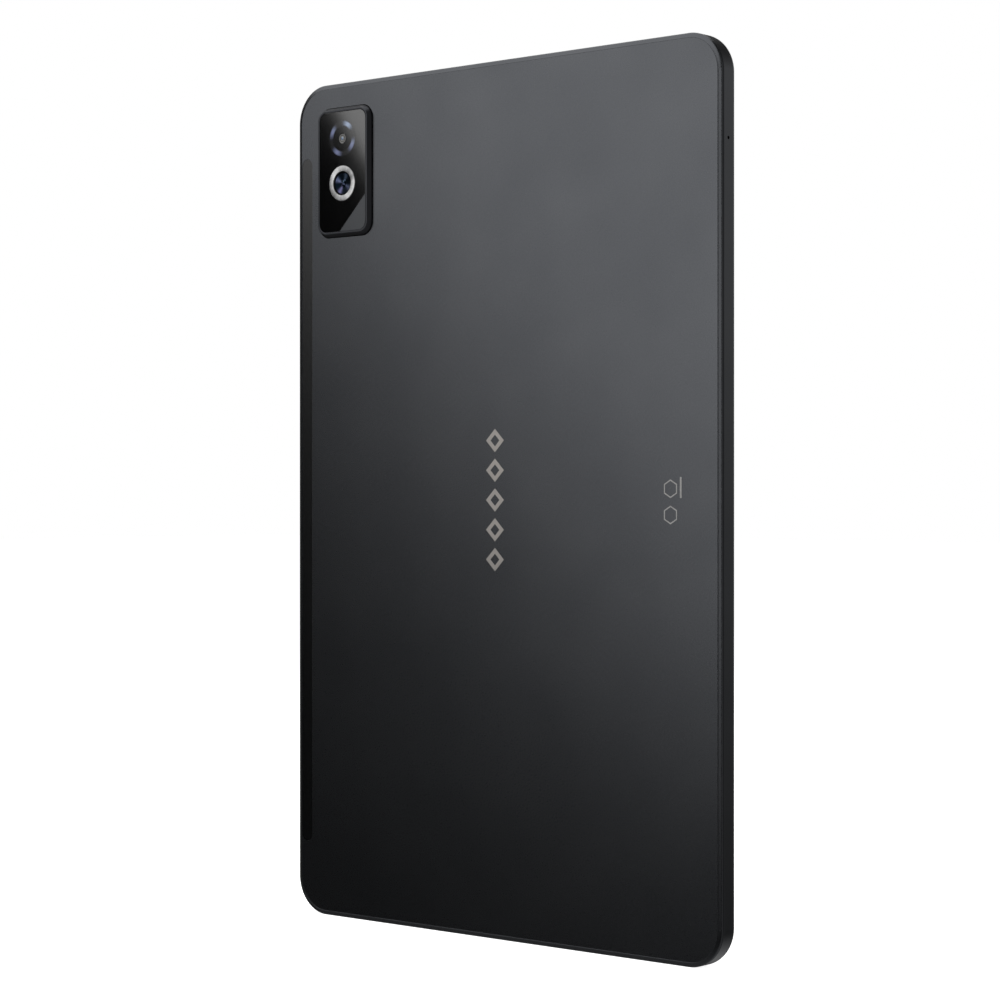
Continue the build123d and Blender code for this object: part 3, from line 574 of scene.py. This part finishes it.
def makeIslandGlass():
    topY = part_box("camera_glass")[1].y
    piece = islandGlassPanel("islandGlass", topY)
    bisectCorner(piece, False)
    pick(piece, "FACE", lambda mid, way: True)
    pull(y=-0.58 * mm)
    pickRim(piece, topY)
    softenEdges(0.08 * mm, 3)
    bpy.ops.object.mode_set(mode="OBJECT")
    ring, ringSize = boxMiddle("lens_ring")
    window, windowSize = boxMiddle("flash_lens")
    cutAway(piece, [
        holeCutter((ring.x, topY, ring.z), ringSize.x / 2 + 0.05 * mm, "back", 2 * mm),
        holeCutter((window.x, topY, window.z), windowSize.x / 2 + 0.04 * mm, "back", 2 * mm),
    ])
    finishPiece(piece, islandGlassMaterial(), "chassis", ["camera_glass"])


def makeCornerPlate():
    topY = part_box("camera_corner_plate")[1].y
    piece = islandGlassPanel("islandCornerPlate", topY)
    bisectCorner(piece, True)
    pick(piece, "FACE", lambda mid, way: True)
    pull(y=-0.55 * mm)
    pickRim(piece, topY)
    softenEdges(0.08 * mm, 3)
    finishPiece(piece, finishes["wedgeMetal"], "chassis", ["camera_corner_plate"])


def slightDome(tree):
    # the island's glass leans away a little toward its lower inner corner, so the light gathers at the top
    island, size = islandPlace()
    moved = addNode(tree, "VectorMath", {"operation": "SUBTRACT"}, in_0=objectPoint(tree), in_1=island)
    parts = addNode(tree, "SeparateXYZ", Vector=moved.outputs[0])
    x, z = parts.outputs[0], parts.outputs[2]
    lean = math(tree, "MULTIPLY", z, -cameraIsland["domeAlong"])
    lean = math(tree, "ADD", lean, math(tree, "MULTIPLY", x, cameraIsland["domeAcross"] / 2))
    lean = math(tree, "ADD", lean, cameraIsland["domeLean"])
    rise = math(tree, "MULTIPLY", math(tree, "MULTIPLY", x, lean), -1.0)
    return addNode(tree, "Bump", Strength=1.0, Distance=1.0, Height=rise).outputs[0]


def islandGlassMaterial():
    material, tree, shader = newMaterial("islandGlass")
    tree.links.new(slightDome(tree), shader.inputs["Normal"])
    smudge = noise(tree, objectPoint(tree), 9 * mm, 3.0)
    black = mixColours(tree, smudge, (0.0006, 0.0006, 0.0007, 1), (0.001, 0.001, 0.0012, 1))
    tree.links.new(black, shader.inputs["Base Color"])
    tree.links.new(remap(tree, smudge, 0.12, 0.16), shader.inputs["Roughness"])
    shader.inputs["IOR"].default_value = 1.6
    return material


# the main lens and the flash

lens = {
    "ringOuter": 5.22 * mm,
    "ringInner": 3.58 * mm,
    "ringChamfer": 0.14 * mm,
    "dishRadius": 3.5 * mm,
    "domeRadius": 0.92 * mm,
    "blackRing": 0.28 * mm,
    "silver": (0.6, 0.6, 0.6),
    "silverDark": (0.36, 0.36, 0.36),
    # turn of the painted highlight and painted shade sectors round the lens ring
    "paintedHighlightTurn": radians(-90),
    "blue": (0.09, 0.13, 0.2),
    # violet tint of the painted ray reflection on one side of the disc
    "violet": (0.07, 0.065, 0.13),
    "blueDark": (0.001, 0.003, 0.006),
    "rayTurn": radians(-29),
}


def turnedMaterial(name, centre, light, dark, roughness, lines=0.06 * mm):
    # a lathe-turned face: fine circles round the lens
    material, tree, shader = newMaterial(name)
    distance, angle = aroundCentre(tree, centre)
    turns = math(tree, "DIVIDE", distance, lines)
    circles = addNode(
        tree, "TexNoise", {"noise_dimensions": "1D"}, W=turns, Scale=1.0, Detail=3.0
    ).outputs[0]
    patches = noise(tree, objectPoint(tree), 0.35 * mm, 4.0)
    both = math(tree, "ADD", math(tree, "MULTIPLY", circles, 0.6), math(tree, "MULTIPLY", patches, 0.4))
    shade = mixColours(tree, remap(tree, both, 0, 1, 0.3, 0.7), (*dark, 1), (*light, 1))
    tree.links.new(shade, shader.inputs["Base Color"])
    tree.links.new(remap(tree, circles, roughness - 0.06, roughness + 0.08), shader.inputs["Roughness"])
    bump = addNode(tree, "Bump", Strength=0.25, Distance=0.01 * mm, Height=both)
    tree.links.new(bump.outputs[0], shader.inputs["Normal"])
    shader.inputs["Metallic"].default_value = 1.0
    return material, tree, shader, distance, angle


def makeLensRing():
    centre, size = boxMiddle("lens_ring")
    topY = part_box("lens_ring")[1].y
    piece = addRound("lensRing", (centre.x, topY, centre.z), lens["ringOuter"], sides=128)
    inset(lens["ringOuter"] - lens["ringInner"])
    bpy.ops.mesh.delete(type="FACE")
    bpy.ops.mesh.select_all(action="SELECT")
    pull(y=-0.78 * mm)
    pickRim(piece, topY)
    softenEdges(lens["ringChamfer"], 3)
    material, tree, shader, distance, angle = turnedMaterial(
        "turnedRing", centre, lens["silver"], lens["silverDark"], 0.4
    )
    # the bright and dark sectors round the ring are painted highlight and painted shade in its colour, at a
    # fixed turn; the radial streaks by angle are part grain, part painted sheen
    outward = addNode(tree, "CombineXYZ", X=math(tree, "COSINE", angle), Y=math(tree, "SINE", angle))
    streaks = noise(tree, outward.outputs[0], 0.4, 4.0)
    paintedSweep = math(tree, "COSINE", math(tree, "ADD", math(tree, "MULTIPLY", angle, 2.0), lens["paintedHighlightTurn"]))
    shade = math(tree, "ADD", remap(tree, paintedSweep, 0, 0.6, -1, 1), remap(tree, streaks, 0, 0.4, 0.35, 0.65))
    turned = shader.inputs["Base Color"].links[0].from_socket
    tree.links.new(mixColours(tree, shade, (0.1, 0.1, 0.1, 1), turned), shader.inputs["Base Color"])
    finishPiece(piece, material, "chassis", ["lens_ring"], angle=40)


def makeLensDish():
    # black outer step, then a shallow turned dish that runs down to the lens
    centre, size = boxMiddle("lens_disc")
    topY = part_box("lens_disc")[1].y + 0.05 * mm
    piece = addRound("lensDish", (centre.x, topY, centre.z), lens["dishRadius"], sides=96)
    inset(lens["blackRing"], -0.06 * mm)
    for i in range(5):
        inset(0.42 * mm, -0.055 * mm)
    inset(0.12 * mm, -0.1 * mm)
    pickRim(piece, topY)
    pull(y=-0.3 * mm)
    bpy.ops.mesh.edge_face_add()
    finishes["spunDisc"] = spunDiscMaterial(centre)
    finishPiece(piece, finishes["spunDisc"], "chassis", ["lens_disc"], angle=40)


def spunDiscMaterial(centre):
    material, tree, shader, distance, angle = turnedMaterial(
        "spunDisc", centre, lens["blue"], lens["blueDark"], 0.36, 0.05 * mm
    )
    # four soft rays painted into the colour as a reflection, a violet tint on one side painted as part of
    # that reflection, and a black edge
    waves = math(tree, "COSINE", math(tree, "ADD", math(tree, "MULTIPLY", angle, 4.0), 4 * lens["rayTurn"]))
    paintedRays = math(tree, "POWER", remap(tree, waves, 0, 1, -1, 1), 3.0)
    turned = shader.inputs["Base Color"].links[0].from_socket
    paintedTintSide = remap(tree, math(tree, "COSINE", math(tree, "SUBTRACT", angle, radians(119))), 0.8, 0, -1, 0.9)
    tinted = mixColours(tree, paintedTintSide, turned, (*lens["violet"], 1))
    rayed = mixColours(tree, paintedRays, (*lens["blueDark"], 1), tinted)
    edge = remap(tree, distance, 0, 1, lens["dishRadius"] - 0.6 * mm, lens["dishRadius"] - 0.26 * mm)
    tree.links.new(mixColours(tree, edge, rayed, (0.001, 0.001, 0.001, 1)), shader.inputs["Base Color"])
    return material


def domedGlass(name, node, radius, rise, material, body="chassis"):
    centre, size = boxMiddle(node)
    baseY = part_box(node)[1].y - rise
    piece = addRound(name, (centre.x, baseY, centre.z), radius, sides=64)
    steps = 8
    for i in range(steps):
        # each ring climbs as a round dome does
        near, far = i / steps, (i + 1) / steps
        lift = rise * (sin(far * pi / 2) - sin(near * pi / 2))
        shrink = radius * 0.98 * (cos(near * pi / 2) - cos(far * pi / 2))
        inset(shrink, lift)
    pickRim(piece, baseY)
    pull(y=-0.3 * mm)
    bpy.ops.mesh.edge_face_add()
    return finishPiece(piece, material, body, [node], angle=50)


def coatedLensMaterial(name, colour, edge):
    material, tree, shader = newMaterial(name)
    facing = addNode(tree, "LayerWeight", Blend=0.4).outputs["Facing"]
    tree.links.new(mixColours(tree, facing, (*colour, 1), (*edge, 1)), shader.inputs["Base Color"])
    smudge = noise(tree, objectPoint(tree), 1 * mm, 2.0)
    tree.links.new(remap(tree, smudge, 0.04, 0.1), shader.inputs["Roughness"])
    shader.inputs["Coat Weight"].default_value = 1.0
    shader.inputs["Coat Roughness"].default_value = 0.02
    shader.inputs["Specular IOR Level"].default_value = 0.8
    return material


flash = {
    "ringOuter": 5.3 * mm,
    "ringInner": 3.7 * mm,
    "ringRise": 0.02 * mm,
    "raySharpness": 2.2,
    "rayTurn": radians(-29),
    # arc colour where the painted highlight falls, then the arc colour elsewhere
    "bright": (0.24, 0.3, 0.42),
    "brightOther": (0.14, 0.16, 0.27),
    "dark": (0.001, 0.001, 0.0016),
    "windowColour": (0.04, 0.038, 0.035),
    "spotColour": (0.045, 0.09, 0.17),
    "windowRings": [
        (0.2 * mm, 0), (0.05 * mm, -0.06 * mm), (0.2 * mm, 0), (0.05 * mm, 0.06 * mm), (0.2 * mm, 0),
        (0.05 * mm, -0.06 * mm), (0.25 * mm, 0),
    ],
}


def makeFlashRing():
    # four bright arcs round the flash, on the glass; the arcs toward the top are brighter, a painted
    # highlight
    centre, size = boxMiddle("flash_lens")
    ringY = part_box("camera_glass")[1].y + flash["ringRise"]
    piece = addRound("flashRing", (centre.x, ringY, centre.z), flash["ringOuter"], sides=128)
    inset(flash["ringOuter"] - flash["ringInner"])
    bpy.ops.mesh.delete(type="FACE")
    bpy.ops.mesh.select_all(action="SELECT")
    pull(y=-0.1 * mm)
    material, tree, shader = newMaterial("flashArcs")
    distance, angle = aroundCentre(tree, centre)
    waves = math(tree, "COSINE", math(tree, "ADD", math(tree, "MULTIPLY", angle, 4.0), 4 * flash["rayTurn"]))
    arcs = math(tree, "POWER", remap(tree, waves, 0, 1, -1, 1), flash["raySharpness"])
    half = (flash["ringOuter"] + flash["ringInner"]) / 2
    offCentre = math(tree, "ABSOLUTE", math(tree, "SUBTRACT", distance, half))
    band = remap(tree, offCentre, 1, 0, 0.4 * mm, 0.9 * mm)
    tint = noise(tree, objectPoint(tree), 2.5 * mm, 1.0)
    # painted highlight: the arcs toward the top get the brighter colour
    paintedArcHighlight = remap(tree, math(tree, "COSINE", math(tree, "SUBTRACT", angle, radians(119))), 0, 1, 0, 0.95)
    bright = mixColours(tree, paintedArcHighlight, (*flash["brightOther"], 1), (*flash["bright"], 1))
    tree.links.new(
        mixColours(tree, math(tree, "MULTIPLY", arcs, band), (*flash["dark"], 1), bright),
        shader.inputs["Base Color"]
    )
    tree.links.new(remap(tree, tint, 0.15, 0.2), shader.inputs["Roughness"])
    tree.links.new(slightDome(tree), shader.inputs["Normal"])
    shader.inputs["IOR"].default_value = 1.6
    finishPiece(piece, material, "chassis")


def makeFlashWindow():
    centre, size = boxMiddle("flash_lens")
    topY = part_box("flash_lens")[1].y
    piece = addRound("flashWindow", (centre.x, topY, centre.z), size.x / 2, sides=64)
    # stepped rings of a small flat lens
    for step, drop in flash["windowRings"]:
        inset(step, drop)
    inset(0.1 * mm, 0.08 * mm)
    inset(0.15 * mm, 0.03 * mm)
    pickRim(piece, topY)
    pull(y=-0.5 * mm)
    pickRim(piece, topY - 0.5 * mm)
    bpy.ops.mesh.edge_face_add()
    material, tree, shader = newMaterial("flashLensClear")
    distance, angle = aroundCentre(tree, centre)
    spot = remap(tree, distance, 1, 0, 0.35 * mm, 0.6 * mm)
    spotted = mixColours(tree, spot, (*flash["windowColour"], 1), (*flash["spotColour"], 1))
    tree.links.new(spotted, shader.inputs["Base Color"])
    grain = noise(tree, objectPoint(tree), 0.2 * mm, 3.0)
    tree.links.new(remap(tree, grain, 0.15, 0.3), shader.inputs["Roughness"])
    shader.inputs["Coat Weight"].default_value = 0.8
    finishPiece(piece, material, "chassis", ["flash_lens"])


# the front

front = {
    "glassInset": 2.05 * mm,
    "edgeRound": 0.3 * mm,
    "pictureWidth": 135.5 * mm,
    "pictureHeight": 225.9 * mm,
    "ink": (0.002, 0.002, 0.0022),
    "picture": (0.006, 0.0065, 0.0075),
    "cameraRadius": 1.6 * mm,
    "cameraHole": 1.75 * mm,
}


def makeFrontGlass():
    edges = 2 * front["glassInset"]
    piece = addPanel(
        "frontGlass", (middle.x, frontY, middle.z), (width - edges, height - edges),
        shell["corner"] - front["glassInset"], "front", 32
    )
    pull(y=0.7 * mm)
    pickRim(piece, frontY)
    softenEdges(front["edgeRound"], 6)
    bpy.ops.object.mode_set(mode="OBJECT")
    camera, size = boxMiddle("front_camera_module")
    cutAway(piece, [holeCutter((camera.x, frontY, camera.z), front["cameraHole"], "front", 0.35 * mm)])
    finishPiece(piece, frontGlassMaterial(), "chassis", ["cover_glass"])


def frontGlassMaterial():
    material, tree, shader = newMaterial("frontGlassInk")
    parts = addNode(tree, "SeparateXYZ", Vector=objectPoint(tree))
    fromSide = math(tree, "SUBTRACT", front["pictureWidth"] / 2, math(tree, "ABSOLUTE", parts.outputs[0]))
    up = math(tree, "ABSOLUTE", math(tree, "SUBTRACT", parts.outputs[2], middle.z))
    fromEnd = math(tree, "SUBTRACT", front["pictureHeight"] / 2, up)
    inPicture = remap(tree, math(tree, "MINIMUM", fromSide, fromEnd), 0, 1, 0, 0.1 * mm)
    smudge = noise(tree, objectPoint(tree), 25 * mm, 4.0)
    inkShade = mixColours(tree, smudge, (*front["ink"], 1), (0.0028, 0.0028, 0.003, 1))
    tree.links.new(mixColours(tree, inPicture, inkShade, (*front["picture"], 1)), shader.inputs["Base Color"])
    tree.links.new(remap(tree, smudge, 0.03, 0.09, 0.3, 0.8), shader.inputs["Roughness"])
    shader.inputs["IOR"].default_value = 1.5
    shader.inputs["Coat Weight"].default_value = 0.3
    shader.inputs["Coat Roughness"].default_value = 0.02
    return material


def makeFrontCamera():
    camera, size = boxMiddle("front_camera_module")
    lensY = frontY + 0.02 * mm
    piece = addRound("frontCameraLens", (camera.x, lensY, camera.z), front["cameraRadius"], "front", 64)
    inset(0.35 * mm)
    inset(0.1 * mm, -0.1 * mm)
    inset(0.25 * mm, -0.02 * mm)
    inset(0.15 * mm, 0.06 * mm)
    inset(0.2 * mm, 0.04 * mm)
    pickRim(piece, lensY)
    pull(y=0.4 * mm)
    finishPiece(piece, finishes["lensBlack"], "chassis")


# keys

keys = {
    "width": 2.2 * mm,
    "powerLength": 10.5 * mm,
    "flangeDrop": 1.95 * mm,
    "edge": 0.32 * mm,
}


def makeKey(name, node, place, size, facing, inward):
    # domed bar with a flange behind it
    piece = addPanel(name, place, size, min(size) / 2, facing, 16)
    outside = Vector(place)
    pull(*(inward * keys["flangeDrop"]))
    pick(
        piece, "EDGE",
        lambda mid, way: abs((mid - outside).dot(inward)) < 1e-6 and abs(way.dot(inward)) < 0.01
    )
    softenEdges(keys["edge"], 5)
    finishPiece(piece, finishes["keyMetal"], node, [node], angle=45)


def makeKeys():
    rocker, rockerSize = boxMiddle("volume_rocker")
    makeKey(
        "volumeRocker", "volume_rocker", (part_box("volume_rocker")[1].x, wallY, rocker.z),
        (keys["width"], rockerSize.z), "right", Vector((-1, 0, 0))
    )
    power, powerSize = boxMiddle("power_button")
    makeKey(
        "powerButton", "power_button", (power.x, wallY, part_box("power_button")[1].z),
        (keys["powerLength"], keys["width"]), "up", Vector((0, 0, -1))
    )


# marks on the back: plain shapes, no lettering

marks = {
    "emblemCount": 5,
    "emblemSpacing": 8.4 * mm,
    "emblemRadius": 3.3 * mm,
    "emblemStroke": 1.15 * mm,
    "emblemRise": 0.03 * mm,
    "emblemX": 0.2 * mm,
    "smallX": -61.5 * mm,
    "smallRadius": 2.5 * mm,
    "smallStroke": 0.32 * mm,
    "barPlace": (-64.9 * mm, backY, 127.3 * mm),
    "barSize": (0.55 * mm, 5.6 * mm),
    "warmGrey": (0.3, 0.28, 0.26),
    "paleGrey": (0.34, 0.34, 0.34),
}


def outlineShape(name, place, radius, sides, stroke, turn=0.0):
    deselectAll()
    bpy.ops.mesh.primitive_circle_add(
        vertices=sides, radius=radius, fill_type="NGON", location=place, rotation=facings["back"]
    )
    piece = editNew(name)
    inset(stroke)
    bpy.ops.mesh.delete(type="FACE")
    bpy.ops.mesh.select_all(action="SELECT")
    pull(y=marks["emblemRise"])
    bpy.ops.object.mode_set(mode="OBJECT")
    return piece


def makeMarks():
    printed = {"colour": marks["warmGrey"], "other": (0.26, 0.245, 0.23), "roughness": 0.4, "metallic": 0.6,
               "grain": 0.1 * mm, "bump": 0.1}
    warm = grainedMaterial("emblemPrint", printed)
    pale = grainedMaterial("smallPrint", {**printed, "colour": marks["paleGrey"], "metallic": 0.0})
    top = (marks["emblemCount"] - 1) / 2
    shapes = [
        outlineShape(
            "emblemShape", (marks["emblemX"], backY, middle.z + (i - top) * marks["emblemSpacing"]),
            marks["emblemRadius"], 4, marks["emblemStroke"]
        )
        for i in range(marks["emblemCount"])
    ]
    finishPiece(joinPieces(shapes, "emblem"), warm, "chassis")
    small = [
        outlineShape(
            "smallShape", (marks["smallX"], backY, middle.z + offset), marks["smallRadius"], 6,
            marks["smallStroke"]
        )
        for offset in (-4 * mm, 3 * mm)
    ]
    bar = addPanel("smallShape", marks["barPlace"], marks["barSize"], 0.1 * mm, "back", 3)
    pull(y=marks["emblemRise"])
    bpy.ops.object.mode_set(mode="OBJECT")
    finishPiece(joinPieces([*small, bar], "smallMarks"), pale, "chassis")


finishes["lensBlack"] = coatedLensMaterial("lensBlack", (0.004, 0.006, 0.012), (0.001, 0.001, 0.001))

makeBackPlate()
makeAntennaStrip()
makeFrameRing()
print("shell made")
makeIslandSurround()
makeIslandGlass()
makeCornerPlate()
makeLensRing()
makeLensDish()
domedGlass("lensDome", "lens_element", lens["domeRadius"], 0.12 * mm, finishes["spunDisc"])
makeFlashRing()
makeFlashWindow()
print("camera island made")
makeFrontGlass()
makeFrontCamera()
makeKeys()
makeMarks()
print("front, keys and marks made")


# finishes for the pieces that come straight from the design

nodeFinishes = {
    "steelParts": ["usb_port_shell", "dome_switches", "key_brackets", "card_reader", "eject_rod",
                   "eject_lever", "eject_lever_pivot", "board_screws", "shield_can_processor",
                   "shield_can_radio", "shield_can_power", "backlight_tray"],
    "blackPlastic": ["usb_port_tongue", "lens_barrel", "rear_camera_module", "front_camera_module",
                     "light_sensor", "board_chips", "board_connectors", "speaker_lower_left",
                     "speaker_lower_right", "speaker_upper_left", "speaker_upper_right", "display_panel"],
    "goldContact": ["usb_port_contacts"],
    "softRubber": ["card_tray_seal", "camera_gasket", "side_microphone", "bottom_microphone", "antenna_cable",
                   "display_adhesive", "battery_adhesive_strips"],
    "wovenMesh": ["speaker_meshes"],
    "circuitBoard": ["main_board", "sub_board", "battery_protection_board"],
    "filmBrown": ["key_flex", "display_flex", "board_link_flex", "battery_lead"],
    "cellFoil": ["battery_cell_lower", "battery_cell_upper"],
    "clearSheet": ["light_guide", "flash_led"],
    "graphiteFilm": ["thermal_sheet"],
    "copperFoil": ["antenna_lower"],
    "keyMetal": ["card_tray"],
}
for finish, nodeNames in nodeFinishes.items():
    for nodeName in nodeNames:
        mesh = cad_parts[nodeName].data
        mesh.materials.clear()
        mesh.materials.append(finishes[finish])
print("design pieces finished")


# floor, light, camera

studio = {
    "cameraPlace": (-474.6 * mm, backY + 553.05 * mm, 124 * mm),
    "cameraWay": (0.6499, -0.7600, 0.0),
    "lensLength": 92.97,
    "floorGlow": 0.93,
    "roomStrength": 1.0,
}


def makeFloor():
    deselectAll()
    bpy.ops.mesh.primitive_plane_add(size=1, location=(0, 0, -0.1 * mm))
    floor = bpy.context.object
    floor.name = "studioFloor"
    floor.scale = (12, 12, 1)
    bpy.ops.object.transform_apply(location=True, rotation=True, scale=True)
    material, tree, shader = newMaterial("paleFloor")
    shader.inputs["Base Color"].default_value = (0.9, 0.9, 0.9, 1)
    shader.inputs["Roughness"].default_value = 0.9
    shader.inputs["Emission Color"].default_value = (1, 1, 1, 1)
    shader.inputs["Emission Strength"].default_value = studio["floorGlow"]
    floor.data.materials.append(material)
    floor.visible_glossy = False
    floor.visible_diffuse = False
    floor.visible_shadow = False


# how bright the room is at a height, from -1 straight down to 1 straight up
room = {
    "front": [(-1, 0.5), (-0.8, 0.7), (-0.6, 0.7), (-0.35, 0.15), (-0.17, 0.06), (0, 0.42),
              (0.17, 0.95), (0.35, 0.5), (0.6, 0.05)],
    "back": [(-1, 0.45), (-0.55, 0.45), (-0.38, 0.02), (0.2, 0.0), (1, 0.1)],
    "right": [(-1, 0.6), (-0.3, 0.55), (-0.16, 0.3), (-0.07, 0.12), (0.1, 0.12), (0.3, 0.3), (1, 0.4)],
    "left": 0.42,
    "ahead": 0.35,
}


def heightRamp(tree, upward, stops):
    ramp = addNode(tree, "ValToRGB", Fac=remap(tree, upward, 0, 1, -1, 1))
    elements = ramp.color_ramp.elements
    while len(elements) < len(stops):
        elements.new(0.5)
    for element, (heightUp, level) in zip(elements, stops):
        element.position = (heightUp + 1) / 2
        element.color = (level, level, level, 1)
    return ramp.outputs[0]


def makeWorld():
    world = bpy.data.worlds.new("studioWorld")
    world.use_nodes = True
    bpy.context.scene.world = world
    tree = world.node_tree
    tree.nodes.clear()
    output = tree.nodes.new("ShaderNodeOutputWorld")
    way = addNode(tree, "SeparateXYZ", Vector=addNode(tree, "TexCoord").outputs["Generated"])
    x, y, z = way.outputs

    def grey(value):
        return (value, value, value, 1)

    frontLevel = heightRamp(tree, z, room["front"])
    frontLevel = mixColours(tree, remap(tree, x, 1, 0, 0.2, 0.55), grey(0.02), frontLevel)
    frontLevel = mixColours(tree, remap(tree, x, 1, 0, -0.95, -0.72), frontLevel, grey(room["left"]))
    frontLevel = mixColours(tree, remap(tree, y, 1, 0, -0.99, -0.88), frontLevel, grey(room["ahead"]))
    backLevel = heightRamp(tree, z, room["back"])
    backLevel = mixColours(tree, remap(tree, x, 1, 0, -0.6, -0.3), backLevel, grey(room["left"]))
    level = mixColours(tree, remap(tree, y, 1, 0, -0.45, -0.15), backLevel, frontLevel)
    level = mixColours(tree, remap(tree, x, 0, 1, 0.9, 0.99), level, heightRamp(tree, z, room["right"]))
    glow = addNode(tree, "Background", Color=level, Strength=studio["roomStrength"])
    white = addNode(tree, "Background", Color=(1, 1, 1, 1), Strength=1.0)
    seen = tree.nodes.new("ShaderNodeLightPath").outputs["Is Camera Ray"]
    mix = tree.nodes.new("ShaderNodeMixShader")
    tree.links.new(seen, mix.inputs[0])
    tree.links.new(glow.outputs[0], mix.inputs[1])
    tree.links.new(white.outputs[0], mix.inputs[2])
    tree.links.new(mix.outputs[0], output.inputs["Surface"])


lights = {
    "tallSoftbox": {
        "place": (0.291, 0.406, 0.45), "aim": (0.218, -0.05, -0.372), "size": (0.682, 2.05), "power": 11.3,
    },
}


def addLight(name, look):
    data = bpy.data.lights.new(name, "AREA")
    data.shape = "RECTANGLE"
    data.size, data.size_y = look["size"]
    data.energy = look["power"]
    light = bpy.data.objects.new(name, data)
    bpy.context.scene.collection.objects.link(light)
    light.location = look["place"]
    way = Vector(look["aim"]) - Vector(look["place"])
    light.rotation_euler = way.to_track_quat("-Z", "Y").to_euler()
    light.visible_camera = False


def makeCamera():
    data = bpy.data.cameras.new("studioCamera")
    data.sensor_width = 36
    data.lens = studio["lensLength"]
    data.clip_start = 0.01
    camera = bpy.data.objects.new("studioCamera", data)
    bpy.context.scene.collection.objects.link(camera)
    camera.location = studio["cameraPlace"]
    camera.rotation_euler = Vector(studio["cameraWay"]).to_track_quat("-Z", "Y").to_euler()
    bpy.context.scene.camera = camera


makeFloor()
makeWorld()
for name, look in lights.items():
    addLight(name, look)
makeCamera()
bpy.context.scene.view_settings.view_transform = "Standard"
print("studio ready")

deselectAll()
